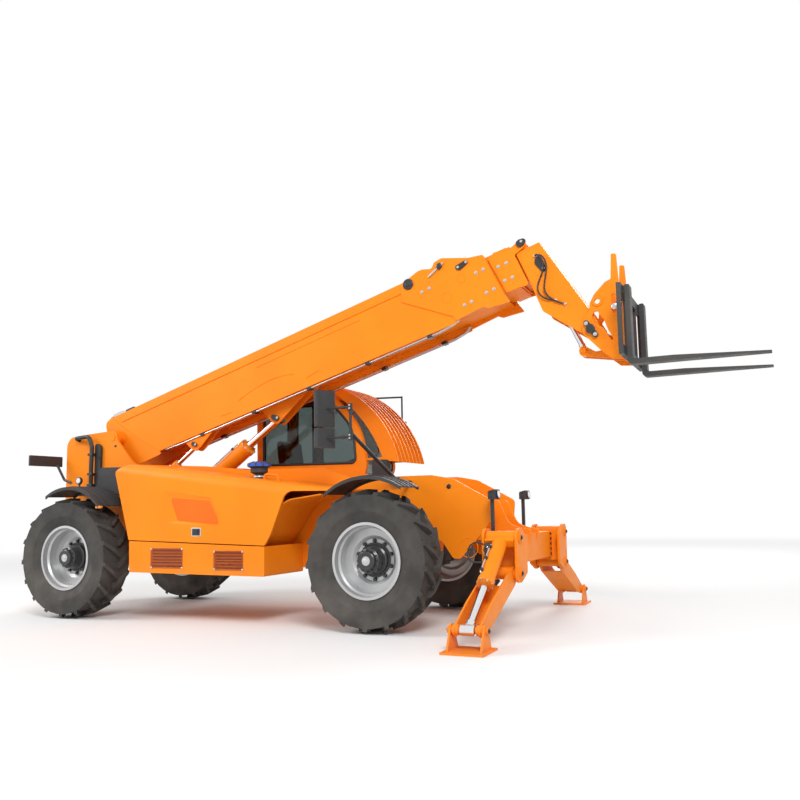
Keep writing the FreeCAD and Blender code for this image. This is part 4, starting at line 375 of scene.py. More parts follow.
def head_tree():
    """Tree that lays a flanged hex head on each point of a mesh."""
    tree = bpy.data.node_groups.new("flanged_heads", "GeometryNodeTree")
    face = tree.interface
    face.new_socket("Places", in_out="INPUT", socket_type="NodeSocketGeometry")
    for label, size in (("Head Radius", 0.012), ("Head Height", 0.010), ("Flange Radius", 0.016)):
        face.new_socket(label, in_out="INPUT", socket_type="NodeSocketFloat").default_value = size
    face.new_socket("Finish", in_out="INPUT", socket_type="NodeSocketMaterial")
    face.new_socket("Heads", in_out="OUTPUT", socket_type="NodeSocketGeometry")
    node = tree.nodes.new
    link = tree.links.new
    sizes, result = node("NodeGroupInput"), node("NodeGroupOutput")
    hexagon, flange = node("GeometryNodeMeshCylinder"), node("GeometryNodeMeshCylinder")
    hexagon.inputs["Vertices"].default_value = 6
    flange.inputs["Vertices"].default_value = 14
    flange.inputs["Depth"].default_value = 0.006
    link(sizes.outputs["Head Radius"], hexagon.inputs["Radius"])
    link(sizes.outputs["Head Height"], hexagon.inputs["Depth"])
    link(sizes.outputs["Flange Radius"], flange.inputs["Radius"])
    rise = node("ShaderNodeMath")
    rise.operation = "MULTIPLY_ADD"
    rise.inputs[1].default_value = 0.5
    rise.inputs[2].default_value = 0.0025
    link(sizes.outputs["Head Height"], rise.inputs[0])
    height = node("ShaderNodeCombineXYZ")
    link(rise.outputs[0], height.inputs["Z"])
    lift = node("GeometryNodeTransform")
    link(hexagon.outputs["Mesh"], lift.inputs["Geometry"])
    link(height.outputs[0], lift.inputs["Translation"])
    both = node("GeometryNodeJoinGeometry")
    link(lift.outputs["Geometry"], both.inputs["Geometry"])
    link(flange.outputs["Mesh"], both.inputs["Geometry"])
    facing = node("GeometryNodeInputNamedAttribute")
    facing.data_type = "FLOAT_VECTOR"
    facing.inputs["Name"].default_value = "facing"
    turn_head = node("FunctionNodeAlignRotationToVector")
    turn_head.axis = "Z"
    link(facing.outputs["Attribute"], turn_head.inputs["Vector"])
    lay = node("GeometryNodeInstanceOnPoints")
    link(sizes.outputs["Places"], lay.inputs["Points"])
    link(both.outputs["Geometry"], lay.inputs["Instance"])
    link(turn_head.outputs["Rotation"], lay.inputs["Rotation"])
    painted(tree, lay.outputs["Instances"], sizes.outputs["Finish"], result.inputs["Heads"])
    return tree


flanged_heads = head_tree()


def grown(name, body, mesh, tree, values, material, crease=35.0):
    """Run a tree over a mesh and keep the result as one plain piece on its body."""
    seedling = bpy.data.objects.new(name, mesh)
    bpy.context.scene.collection.objects.link(seedling)
    growth = seedling.modifiers.new("growth", "NODES")
    growth.node_group = tree
    for item in tree.interface.items_tree:
        if item.item_type == "SOCKET" and item.in_out == "INPUT":
            if item.name in values:
                growth[item.identifier] = values[item.name]
            elif item.name == "Finish":
                growth[item.identifier] = material
    view = bpy.context.evaluated_depsgraph_get()
    made = bpy.data.meshes.new_from_object(seedling.evaluated_get(view))
    seedling.modifiers.remove(growth)
    bench = bmesh.new()
    bench.from_mesh(made)
    bmesh.ops.recalc_face_normals(bench, faces=bench.faces)
    bench.to_mesh(made)
    bench.free()
    if not made.materials:
        made.materials.append(material)
    made.polygons.foreach_set("use_smooth", [True] * len(made.polygons))
    made.set_sharp_from_angle(angle=math.radians(crease))
    seedling.data = made
    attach(seedling, body)
    return seedling


def heads(name, body, places, material, slot, radius=12.0, height=10.0, flange=16.0):
    """Bolt heads: places are pairs of point and facing direction."""
    mesh = bpy.data.meshes.new(name)
    mesh.from_pydata([place for place, _ in places], [], [])
    facing = mesh.attributes.new("facing", "FLOAT_VECTOR", "POINT")
    for index, (_, way) in enumerate(places):
        facing.data[index].vector = way
    values = {"Head Radius": radius / 1000.0, "Head Height": height / 1000.0,
              "Flange Radius": flange / 1000.0}
    return grown(name, body, mesh, flanged_heads, values, material)


AXLE_X = {"front": 0.0, "rear": -3975.0}
SIDE = {"left": 1, "right": -1}
WHEEL_MIDDLE_Y, WHEEL_MIDDLE_Z = 1005.0, 693.0
NUT_CIRCLE, SCREW_CIRCLE = 188.0, 107.0


def ring_of(middle, side, count, shift, radius, outwards):
    """Places of a ring of heads that face out of a wheel, in millimetres from its middle."""
    places = []
    for step in range(count):
        angle = math.tau * (step + shift) / count
        spot = (radius * math.cos(angle), side * outwards, radius * math.sin(angle))
        places.append((middle + Vector(spot) / 1000.0, (0, side, 0)))
    return places


for axle, axle_x in AXLE_X.items():
    for name, side in SIDE.items():
        body = "wheel_%s_%s" % (axle, name)
        middle = at(axle_x, side * WHEEL_MIDDLE_Y, WHEEL_MIDDLE_Z)
        out = (0, side, 0)
        bench = bmesh.new()
        turned(bench, [(-27, 0), (-27, 168), (-21, 172), (-14, 168), (-12, 153), (17, 152.5),
                       (33, 131), (34, 138), (44, 138), (45, 130), (121, 120), (136, 98), (164, 91),
                       (169, 84), (169.8, 0)], middle, out, 48)
        settle("hub_cover_%s_%s" % (axle, name), body, bench, black_paint, "axle_paint")
        bench = bmesh.new()
        turned(bench, [(168, 0), (168, 24), (174, 23), (176, 18), (176, 0)], middle, out, 24)
        settle("hub_plug_%s_%s" % (axle, name), body, bench, bright_zinc, "silver_paint")
        heads("wheel_nuts_%s_%s" % (axle, name), body,
              ring_of(middle, side, 10, 0.5, NUT_CIRCLE, -28.0), black_paint, "axle_paint", 17.0,
              24.0, 21.0)
        heads("hub_screws_%s_%s" % (axle, name), body,
              ring_of(middle, side, 12, 0.0, SCREW_CIRCLE, 134.5), black_paint, "axle_paint", 7.0,
              7.0, 8.0)

# Boom sections: the wear pads inside each section's end are held from outside by pairs of
# zinc-plated screws, and the keepers, rollers and links of the extension chains are black.
BOOM_FOOT = at(-4070.0, 0.0, 2160.0)
BOOM_RISE = math.radians(16.3)
BOOM_ALONG = Vector((math.cos(BOOM_RISE), 0, math.sin(BOOM_RISE)))
BOOM_UP = Vector((-math.sin(BOOM_RISE), 0, math.cos(BOOM_RISE)))


def on_boom(u, y, v):
    """Place of a point given along the boom, across it and above its pivot."""
    return BOOM_FOOT + (BOOM_ALONG * u + BOOM_UP * v) / 1000.0 + Vector((0, y / 1000.0, 0))


collar_screws = [(4519, 111), (4612, 116), (5162, 58), (5249, 58), (4937, -223), (5021, -220),
                 (5206, -196), (5294, -192)]
head_screws = [(5406, 29), (5499, 29), (5427, -144), (5513, -144)]
for body, screws, face in (("boom_outer", collar_screws, 252.0), ("boom_mid", head_screws, 220.0)):
    places = [(on_boom(u, side * face, v), (0, side, 0)) for u, v in screws for side in (1, -1)]
    heads(body + "_pad_screws", body, places, *in_zinc, 13.0, 12.0, 19.0)


def rounded(rows, steps=5):
    """Outline with rounded corners, from rows of two coordinates and a corner radius."""
    points = []
    for index, (a, b, radius) in enumerate(rows):
        corner = Vector((a, b))
        back = Vector(rows[index - 1][:2]) - corner
        on = Vector(rows[(index + 1) % len(rows)][:2]) - corner
        opening = back.angle(on)
        if radius <= 0.0 or opening > math.pi - 0.02:
            points.append(corner)
            continue
        reach = min(radius / math.tan(opening / 2), 0.49 * back.length, 0.49 * on.length)
        back.normalize()
        on.normalize()
        centre = corner + (back + on).normalized() * (reach / math.cos(opening / 2))
        first, last = corner + back * reach - centre, corner + on * reach - centre
        sweep = first.angle(last)
        for step in range(steps + 1):
            t = step / steps
            points.append(centre + (first * math.sin((1 - t) * sweep)
                                    + last * math.sin(t * sweep)) / math.sin(sweep))
    return points


def oblong(low_a, high_a, low_b, high_b, radius):
    """Rows of an upright rectangle with rounded corners."""
    return [(low_a, low_b, radius), (high_a, low_b, radius), (high_a, high_b, radius),
            (low_a, high_b, radius)]


def walls(bench, near, far):
    """Closed solid between two like rings of points."""
    near, far = [[bench.verts.new(point) for point in ring] for ring in (near, far)]
    bench.faces.new(near)
    bench.faces.new(far[::-1])
    for index in range(len(near)):
        after = (index + 1) % len(near)
        bench.faces.new([near[index], near[after], far[after], far[index]])


def plate(bench, rows, place, low, high, steps=5):
    """Flat plate: an outline of rows, set by place(a, offset, b) between two offsets."""
    outline = rounded(rows, steps)
    walls(bench, [place(a, low, b) for a, b in outline], [place(a, high, b) for a, b in outline])
    return bench


KEEPER = 15.0
# columns: piece, its screws, body, face it lies on, outline and screws by u and v
keepers = (("chain_keeper_outer_", "chain_keeper_screw_", "boom_outer", 251.0,
            [(4962, 224, 30), (4972, 172, 30), (5010, 158, 34), (5112, 196, 24), (5116, 222, 24),
             (5092, 236, 22)], [(5097, 212), (4995, 196)]),
           ("tilt_pin_keeper_", "tilt_pin_keeper_screw_", "boom_inner", 201.0,
            [(5790, -60, 30), (5812, -40, 30), (5850, -60, 30), (5878, -196, 24), (5850, -224, 26),
             (5815, -208, 24), (5776, -100, 30)], [(5848, -186)]),
           ("sheave_keeper_", "sheave_keeper_screw_", "boom_mid", 221.0,
            [(5655, 190, 26), (5700, 209, 30), (5752, 200, 30), (5776, 172, 30), (5738, 132, 30),
             (5672, 122, 26)], [(5722, 176)]))
for name, side in SIDE.items():
    for keeper, screw, body, face, rows, screws in keepers:
        solid = plate(bmesh.new(), rows, on_boom, side * face, side * (face + KEEPER))
        settle(keeper + name, body, solid, *in_paint, 2.0)
        places = [(on_boom(u, side * (face + KEEPER), v), (0, side, 0)) for u, v in screws]
        heads(screw + name, body, places, *in_zinc, 12.0, 9.0, 15.0)
    bench = bmesh.new()
    turned(bench, [(0, 0), (0, 58), (6, 62), (22, 62), (28, 54), (28, 30), (36, 26), (36, 0)],
           on_boom(4392, side * 240.0, 262), (0, side, 0), 28)
    turned(bench, [(0, 0), (0, 30), (4, 34), (20, 34), (24, 28), (24, 0)],
           on_boom(4796, side * 251.0, 300), (0, side, 0), 28)
    settle("chain_roller_" + name, "boom_outer", bench, *in_paint, 1.5)
    bench = bmesh.new()
    rod_end, rod_way = on_boom(4640, side * 262.0, 236), BOOM_ALONG * 0.93 + BOOM_UP * 0.36
    turned(bench, [(0, 0), (0, 9), (230, 9), (230, 0)], rod_end, rod_way, 16)
    turned(bench, [(20, 0), (20, 13), (120, 13), (120, 0)], rod_end, rod_way, 16)
    settle("chain_rod_" + name, "boom_outer", bench, *in_zinc, 1.0)


# Oil pipes: two drawn steel tubes run under each side of the main boom section to its end, held
# every metre by black clamp blocks. A tree lays a round tube along each line of its mesh.
def tube_tree():
    """Tree that lays a round tube along each line of a mesh."""
    tree = bpy.data.node_groups.new("bent_tubes", "GeometryNodeTree")
    face = tree.interface
    face.new_socket("Lines", in_out="INPUT", socket_type="NodeSocketGeometry")
    face.new_socket("Radius", in_out="INPUT", socket_type="NodeSocketFloat").default_value = 0.01
    face.new_socket("Sides", in_out="INPUT", socket_type="NodeSocketInt").default_value = 12
    face.new_socket("Finish", in_out="INPUT", socket_type="NodeSocketMaterial")
    face.new_socket("Tubes", in_out="OUTPUT", socket_type="NodeSocketGeometry")
    node = tree.nodes.new
    link = tree.links.new
    sizes, result = node("NodeGroupInput"), node("NodeGroupOutput")
    line, circle = node("GeometryNodeMeshToCurve"), node("GeometryNodeCurvePrimitiveCircle")
    skin = node("GeometryNodeCurveToMesh")
    skin.inputs["Fill Caps"].default_value = True
    link(sizes.outputs["Lines"], line.inputs["Mesh"])
    link(sizes.outputs["Radius"], circle.inputs["Radius"])
    link(sizes.outputs["Sides"], circle.inputs["Resolution"])
    link(line.outputs["Curve"], skin.inputs["Curve"])
    link(circle.outputs["Curve"], skin.inputs["Profile Curve"])
    painted(tree, skin.outputs["Mesh"], sizes.outputs["Finish"], result.inputs["Tubes"])
    return tree


bent_tubes = tube_tree()


def softened(points, radius):
    """Line through points in the row, with each inner corner rounded to a radius in millimetres."""
    line = [Vector(points[0])]
    for back, corner, on in zip(points, points[1:], points[2:]):
        back, corner, on = Vector(back), Vector(corner), Vector(on)
        one, two = back - corner, on - corner
        opening = one.angle(two)
        if opening > math.pi - 0.03:
            line.append(corner)
            continue
        reach = min(radius / 1000.0 / math.tan(opening / 2), 0.49 * one.length, 0.49 * two.length)
        one.normalize()
        two.normalize()
        centre = corner + (one + two).normalized() * (reach / math.cos(opening / 2))
        first, last = corner + one * reach - centre, corner + two * reach - centre
        sweep = first.angle(last)
        for step in range(7):
            t = step / 6
            line.append(centre + (first * math.sin((1 - t) * sweep)
                                  + last * math.sin(t * sweep)) / math.sin(sweep))
    line.append(Vector(points[-1]))
    return line


def tubes(name, body, lines, material, slot, radius, sides=12, closed=False):
    """Round tubes along lines of points; closed lines run back to their start."""
    points, edges = [], []
    for line in lines:
        first = len(points)
        points += [tuple(point) for point in line]
        edges += [(first + k, first + k + 1) for k in range(len(line) - 1)]
        if closed:
            edges.append((len(points) - 1, first))
    mesh = bpy.data.meshes.new(name)
    mesh.from_pydata(points, edges, [])
    return grown(name, body, mesh, bent_tubes, {"Radius": radius / 1000.0, "Sides": sides},
                 material, 50.0)


PIPE_PITCH, FIRST_CLAMP, CLAMP_PITCH = 21.0, 1250.0, 800.0
for name, side in SIDE.items():
    lines = []
    for index, gap in enumerate((0.0, PIPE_PITCH)):
        bends = ((650, 222, -374 - 3 * index), (900, 226, -388), (4560, 226, -388),
                 (4720, 222, -366), (4800, 190, -330))
        lines.append(softened([on_boom(u, side * (y - gap), v) for u, y, v in bends], 60.0))
    tubes("boom_pipes_" + name, "boom_outer", lines, *in_zinc, 10.0, 10)
    bench = bmesh.new()
    for step in range(5):
        u = FIRST_CLAMP + CLAMP_PITCH * step
        plate(bench, [(u - 30, -364, 4), (u + 30, -364, 4), (u + 30, -402, 8), (u - 30, -402, 8)],
              on_boom, side * 164.0, side * 240.0, 2)
    settle("boom_pipe_clamps_" + name, "boom_outer", bench, *in_paint, 1.5)


# Hoses at the boom's drop head: two stiff rubber hoses with steel fittings carry oil from the
# head's side to the coupler's lock and the tilt cylinder. Each hangs in a loop between fittings.
hose_rubber = finish("hose_rubber", (0.012, 0.012, 0.013), (0.020, 0.020, 0.020), 0.5, grain=500.0,
                     bump=0.12)


def rubber_hose(name, body, route, diameter):
    """Stiff hose along a route of points, with both ends in fittings on one body."""
    curve = bpy.data.curves.new(name, "CURVE")
    curve.dimensions = "3D"
    curve.bevel_depth = diameter / 2
    curve.bevel_resolution = 4
    curve.use_fill_caps = True
    spline = curve.splines.new("NURBS")
    spline.points.add(len(route) - 1)
    for control, point in zip(spline.points, route):
        control.co = (*point, 1.0)
    spline.order_u = 3
    spline.use_endpoint_u = True
    curve.materials.append(hose_rubber)
    hose = bpy.data.objects.new(name, curve)
    bpy.context.scene.collection.objects.link(hose)
    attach(hose, body)


for index, (points, length) in enumerate((([(5800, -206, -20), (5812, -226, -18), (5850, -240, -40),
                                            (5872, -240, -120), (5850, -236, -200),
                                            (5800, -232, -262), (5740, -230, -330),
                                            (5718, -228, -400), (5740, -226, -470),
                                            (5790, -222, -520), (5840, -214, -545),
                                            (5858, -206, -552)], 0.69),
                                          ([(5828, -206, -30), (5842, -226, -30), (5884, -238, -70),
                                            (5896, -238, -150), (5868, -232, -240),
                                            (5816, -228, -330), (5784, -226, -410),
                                            (5800, -224, -490), (5850, -220, -560),
                                            (5910, -214, -612), (5936, -206, -632)], 0.72))):
    route = [on_boom(*point) for point in points]
    rubber_hose("head_hose_%d" % index, "boom_inner", route, 0.017)
    bench = bmesh.new()
    for u, y, v in (points[0], points[-1]):
        turned(bench, [(-8, 0), (-8, 15), (2, 15), (3, 12), (16, 11), (17, 0)], on_boom(u, y, v),
               (0, -1, 0), 20)
    settle("head_hose_fittings_%d" % index, "boom_inner", bench, *in_zinc, 1.0)

# Coupler: black link plates, screwed on, clamp the drop head's pin, and bright pin heads stand in
# the side plates' slots.
for name, side in SIDE.items():
    bench = bmesh.new()
    plate(bench, [(1984, 2999, 28), (2026, 3025, 28), (2144, 2860, 28), (2102, 2824, 28)], at,
          side * 240.0, side * 262.0)
    turned(bench, [(0, 0), (0, 44), (8, 48), (12, 44), (12, 0)], at(2061.3, side * 256.0, 2926.7),
           (0, side, 0), 32)
    settle("nose_pin_link_" + name, "tool", bench, *in_paint, 2.0)
    heads("nose_pin_link_screws_" + name, "tool",
          [(at(x, side * 262.0, z), (0, side, 0)) for x, z in ((2021, 2984), (2107, 2866))],
          *in_zinc, 14.0, 12.0, 20.0)
    pin = turned(bmesh.new(), [(-30, 0), (-30, 21), (4, 21), (6, 32), (16, 32), (20, 26), (20, 0)],
                 at(2306, side * 232.0, 3129), (0, side, 0), 32)
    settle("slot_pin_head_" + name, "tool", pin, *in_zinc, 1.0)


# Hydraulic cylinders: screws ring each gland, a steel pipe feeds the rod end along the tube, and a
# black keeper with one screw holds each rod eye's pin.
def brick(bench, spot, one, two, corners, half):
    """Block about a spot: corners along two directions, and half its length as a vector."""
    outline = [spot + one * a + two * b for a, b in corners]
    walls(bench, [point - half for point in outline], [point + half for point in outline])


def cylinder_trim(name, body, base, eye, radius, length, pipe_way, screws=8):
    """Gland screws, oil pipe and its clamps on a barrel that runs from base towards eye."""
    base, eye = Vector(base), Vector(eye)
    along = (eye - base).normalized()
    across = Vector(pipe_way).normalized()
    across = (across - along * across.dot(along)).normalized()
    third = along.cross(across)
    places = []
    for step in range(screws):
        angle = math.tau * (step + 0.5) / screws
        out = across * math.cos(angle) + third * math.sin(angle)
        places.append((base + along * (length / 1000.0) + out * ((radius - 6.0) / 1000.0), along))
    size = max(5.0, radius * 0.09)
    heads(name + "_gland_screws", body, places, *in_zinc, size, size * 0.9, size * 1.15)
    rim, lift = (radius - 7.0) / 1000.0, 0.014
    start = base + along * ((length * 0.16 + radius) / 1000.0)
    stop = base + along * ((length - 90.0) / 1000.0)
    line = softened([start + across * (rim - 0.004), start + across * (rim + lift),
                     stop + across * (rim + lift), stop + across * (rim - 0.004)], 25.0)
    tubes(name + "_pipe", body, [line], *in_zinc, 8.0, 10)
    bench = bmesh.new()
    for share in (0.08, 0.5, 0.92):
        spot = start + (stop - start) * share
        corners = [(rim - 0.002, 0.016), (rim + lift + 0.012, 0.016), (rim + lift + 0.012, -0.016),
                   (rim - 0.002, -0.016)]
        brick(bench, spot, across, third, corners, along * 0.014)
    settle(name + "_pipe_clamps", body, bench, *in_paint, 1.0)


LIFT_FOOT, LIFT_PIN = at(-3600, 0, 1020), on_boom(2230, 0, -505)
COMPENSATION_FOOT, COMPENSATION_PIN = at(-4050, -160, 1170), on_boom(1100, -160, -465)
TILT_FOOT, TILT_PIN = on_boom(5810, 0, -200), on_boom(5939, 0, -1124)
cylinder_trim("lift", "lift_barrel", LIFT_FOOT, LIFT_PIN, 105.0, 1660.0, (-0.5, -0.35, 1), 10)
cylinder_trim("compensation", "compensation_barrel", COMPENSATION_FOOT, COMPENSATION_PIN, 55.0,
              1060.0, (-0.5, -0.6, 1), 6)
cylinder_trim("tilt", "tilt_barrel", TILT_FOOT, TILT_PIN, 65.0, 560.0, (-1, -0.4, 0), 6)
for name, side in SIDE.items():
    cylinder_trim("leg_" + name, "stabiliser_barrel_" + name, at(1268, side * 830, 900),
                  at(1268, side * 1755, 180), 77.0, 635.0, (-0.6, side * 0.6, 0.6), 8)
bench = bmesh.new()
plate(bench, [(2180, -470, 26), (2214, -462, 26), (2286, -512, 26), (2280, -552, 26),
              (2238, -558, 26), (2188, -516, 26)], on_boom, -96.0, -112.0)
plate(bench, [(1060, -436, 20), (1090, -424, 20), (1142, -462, 20), (1140, -496, 20),
              (1108, -500, 20), (1064, -470, 20)], on_boom, -233.0, -245.0)
settle("rod_pin_keepers", "boom_outer", bench, *in_paint, 2.0)
heads("rod_pin_keeper_screws", "boom_outer", [(on_boom(2262, -112, -522), (0, -1, 0)),
                                              (on_boom(1122, -245, -474), (0, -1, 0))], *in_zinc,
      11.0, 9.0, 15.0)

# Air pre-cleaner on the hood: a black moulded bowl on a stem, held by a bright band, with a clear
# blue swirl ring and black vanes on top. An orange lifting loop stands in the hood beside it.
dress(moulded_black, "air_precleaner")
in_plastic, in_enamel = (moulded_black, "black_plastic"), (orange_enamel, "orange_paint")
swirl_blue = finish("swirl_blue", (0.012, 0.10, 0.55), (0.010, 0.08, 0.46), 0.2, coat=0.4,
                    grain=80.0, bump=0.03)
CLEANER = at(-1582, -700, 1554.7)
ring = turned(bmesh.new(), [(127, 0), (127, 129.5), (152, 129.5), (162, 118), (181, 62), (182, 0)],
              CLEANER, (0, 0, 1), 40)
settle("precleaner_ring", "engine_hood", ring, swirl_blue, "black_plastic")
bench = bmesh.new()
for step in range(10):
    turn_vane = Matrix.Rotation(math.tau * step / 10, 3, "Z")

    def on_vane(a, off, b):
        """Place on the vane that stands at this step."""
        return CLEANER + turn_vane @ Vector((a, off, b)) / 1000.0

    plate(bench, [(66, 150, 2), (131, 130, 2), (131, 160, 4), (66, 186, 4)], on_vane, -6.0, 6.0, 2)
turned(bench, [(176, 0), (176, 30), (186, 26), (186, 0)], CLEANER, (0, 0, 1), 24)
settle("precleaner_vanes", "engine_hood", bench, *in_plastic)
band = turned(bmesh.new(), [(9, 0), (9, 63), (24, 61), (24, 0)], CLEANER, (0, 0, 1), 32)
settle("precleaner_band", "engine_hood", band, *in_zinc)
loop = [at(x, -770, z) for x, z in ((-1462, 1530), (-1456, 1590), (-1284, 1572), (-1276, 1505))]
tubes("hood_loop", "engine_hood", [softened(loop, 40.0)], *in_enamel, 13.0)

# Hood side: a thin plate on the sunk panel's floor carries a darker orange, painted shade for the
# floor turned away from the light, and a bright-framed paddle latch sits at the lower edge.
recess_shade_enamel = finish("recess_shade_enamel", (0.82, 0.150, 0.008), (0.78, 0.135, 0.007), 0.42, coat=0.02,
                     grain=160.0, bump=0.05, specular=0.2)
cover = plate(bmesh.new(), [(-2470, 1356, 26), (-1926, 1312, 26), (-1794, 1054, 26),
                            (-2364, 1106, 26)], at, -1105.0, -1107.2)
settle("hood_recess_shade_plate", "engine_hood", cover, recess_shade_enamel, "orange_paint")
rim = plate(bmesh.new(), [(-2162, 934, 8), (-2034, 932, 8), (-2034, 1024, 8), (-2162, 1026, 8)], at,
            -1119.0, -1124.0, 3)
settle("hood_latch_frame", "engine_hood", rim, *in_zinc, 1.5)
bench = bmesh.new()
plate(bench, [(-2150, 944, 6), (-2046, 942, 6), (-2046, 1014, 6), (-2150, 1016, 6)], at, -1123.5,
      -1126.0, 3)
plate(bench, [(-2128, 966, 6), (-2068, 965, 6), (-2068, 1006, 6), (-2128, 1007, 6)], at, -1125.5,
      -1134.0, 3)
settle("hood_latch_paddle", "engine_hood", bench, *in_paint, 1.5)

# Skirt grilles: a sheet of welded wire covers each opening, framed by a bent wire and screwed at
# its corners. The wires' orange is much darker than the enamel: painted shade from the opening.
shaded_grille_orange = finish("shaded_grille_orange", (0.42, 0.085, 0.018), (0.36, 0.070, 0.015), 0.55, grain=200.0,
                     bump=0.08)
WIRE_PITCH = 13
for index, (x0, x1, z0, z1) in enumerate(((-2722, -2283, 592, 803), (-1857, -1483, 582, 778))):
    lines = []
    across, down = int((x1 - x0) / WIRE_PITCH), int((z1 - z0) / WIRE_PITCH)
    for step in range(1, across):
        x = x0 + (x1 - x0) * step / across
        lines.append([at(x, -1121.8, z0), at(x, -1121.8, z1)])
    for step in range(1, down):
        z = z0 + (z1 - z0) * step / down
        lines.append([at(x0, -1123.0, z), at(x1, -1123.0, z)])
    tubes("grille_wires_%d" % index, "chassis", lines, shaded_grille_orange, "orange_paint", 2.2, 4)
    rim = [at(x, -1122.5, z) for x, z in ((x0, z0), (x1, z0), (x1, z1), (x0, z1))]
    tubes("grille_frame_%d" % index, "chassis", [rim], shaded_grille_orange, "orange_paint", 4.0, 8, True)
    heads("grille_screws_%d" % index, "chassis",
          [(at(x, -1124.0, z), (0, -1, 0)) for x in (x0 + 6, x1 - 6) for z in (z0 + 6, z1 - 6)],
          *in_zinc, 7.0, 6.0, 11.0)

# Rear tower: a thick rubber breather pipe bends out of each side plate and runs down it in clamps
# beside a black screwed cover, and a round lamp's stem and shell stand on the shelf.
SHELF_LAMP = {name: at(-4368, side * 620, 1612) for name, side in SIDE.items()}
for name, side in SIDE.items():
    cover = plate(bmesh.new(), [(-4330, 1492, 10), (-4232, 1492, 10), (-4232, 2062, 55),
                                (-4330, 2108, 50)], at, side * 384.0, side * 424.0)
    settle("tower_cover_" + name, "chassis", cover, *in_plastic, 4.0)
    run = [at(x, side * y, z) for x, y, z in ((-4640, 375, 2150), (-4640, 452, 2172),
                                              (-4400, 456, 2186), (-4345, 456, 2050),
                                              (-4352, 456, 1800), (-4356, 450, 1488))]
    tubes("breather_pipe_" + name, "chassis", [softened(run, 70.0)], hose_rubber, "black_plastic",
          26.0, 20)
    bench = bmesh.new()
    for z in (1950, 1700, 1560):
        plate(bench, oblong(-4390, -4310, z - 16, z + 16, 4), at, side * 384.0, side * 486.0, 2)
    turned(bench, [(0, 0), (0, 12), (95, 12), (95, 0)], at(-4368, side * 620, 1489), (0, 0, 1), 16)
    turned(bench, [(-24, 0), (-24, 30), (-8, 46), (20, 46), (22, 38), (22, 0)], SHELF_LAMP[name],
           (0, side, 0), 28)
    settle("pipe_clamps_" + name, "chassis", bench, *in_paint, 2.0)
    cover_screws = ((-4252, 1560), (-4252, 1900), (-4310, 1640))
    places = [(at(x, side * 424.0, z), (0, side, 0)) for x, z in cover_screws]
    heads("tower_cover_screws_" + name, "chassis", places, *in_paint, 9.0, 7.0, 13.0)

# Lamps: clear lenses close the work lamps at the front and the round lamps on the rear shelf. Black
# rings and pivots hold them, and an amber marker is stuck below each rear mudguard.
lens_clear = finish("lens_clear", (0.80, 0.82, 0.84), (0.72, 0.74, 0.77), 0.08, coat=0.8,
                    grain=90.0, bump=0.1)
lens_red = finish("lens_red", (0.45, 0.008, 0.006), (0.38, 0.006, 0.005), 0.15, coat=0.6,
                  grain=110.0, bump=0.12)
lens_amber = finish("lens_amber", (0.85, 0.26, 0.010), (0.78, 0.22, 0.008), 0.15, coat=0.6,
                    grain=110.0, bump=0.12)
WORK_LAMP = {name: at(1130, side * 509, 1311) for name, side in SIDE.items()}
for name, side in SIDE.items():
    bench = bmesh.new()
    turned(bench, [(20, 0), (20, 36), (25, 32), (28, 18), (29, 0)], SHELF_LAMP[name], (0, side, 0),
           28)
    turned(bench, [(8, 0), (8, 38), (14, 33), (17, 18), (18, 0)], WORK_LAMP[name], (1, 0, 0.12), 28)
    settle("lamp_lenses_" + name, "chassis", bench, lens_clear, "window_glass")
    bench = bmesh.new()
    turned(bench, [(-2, 0), (-2, 46), (12, 46), (12, 39), (7, 38), (7, 0)], WORK_LAMP[name],
           (1, 0, 0.12), 28)
    for z in (1288, 1340):
        turned(bench, [(-66, 0), (-66, 9), (-60, 11), (60, 11), (66, 9), (66, 0)],
               at(1078, side * 509, z), (0, 1, 0), 16)
    settle("work_lamp_bezel_" + name, "chassis", bench, *in_paint)
    heads("work_lamp_screw_" + name, "chassis", [(at(1150, side * 525, 922.3), (0, 0, 1)),
                                                 (at(1190, side * 493, 922.3), (0, 0, 1))],
          *in_zinc, 10.0, 9.0, 15.0)
    marker = plate(bmesh.new(), oblong(-3470, -3392, 1258, 1286, 6), at, side * 1180.0,
                   side * 1214.0, 3)
    settle("side_marker_" + name, "chassis", marker, lens_amber, "window_glass", 2.0)


# Tail boards: each is a shallow black moulding on a bent tube, with red and amber lenses let in
# flush. They stand for the plain boards of the solid model.
def endways(y, x, z):
    """Place for a plate that faces along the machine."""
    return at(x, y, z)


for name, side in SIDE.items():
    bench = bmesh.new()
    plate(bench, oblong(side * 420, side * 920, 1812, 1945, 10), endways, -4920.0, -4895.0, 3)
    settle("tail_board_" + name, "chassis", bench, *in_plastic, 2.0)
    arm = [at(-4900, side * 500, 1836), at(-4830, side * 440, 1640), at(-4762, side * 384, 1602)]
    tubes("tail_board_arm_" + name, "chassis", [softened(arm, 30.0)], *in_paint, 16.0)
    for lens, material, low, high in (("stop", lens_red, 440, 610), ("turn", lens_amber, 622, 760),
                                      ("fog", lens_red, 772, 900)):
        bench = bmesh.new()
        plate(bench, oblong(side * low, side * high, 1830, 1927, 10), endways, -4924.5, -4918.0, 3)
        settle("tail_lens_%s_%s" % (lens, name), "chassis", bench, material, "window_glass", 1.5)
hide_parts("tail_lights")

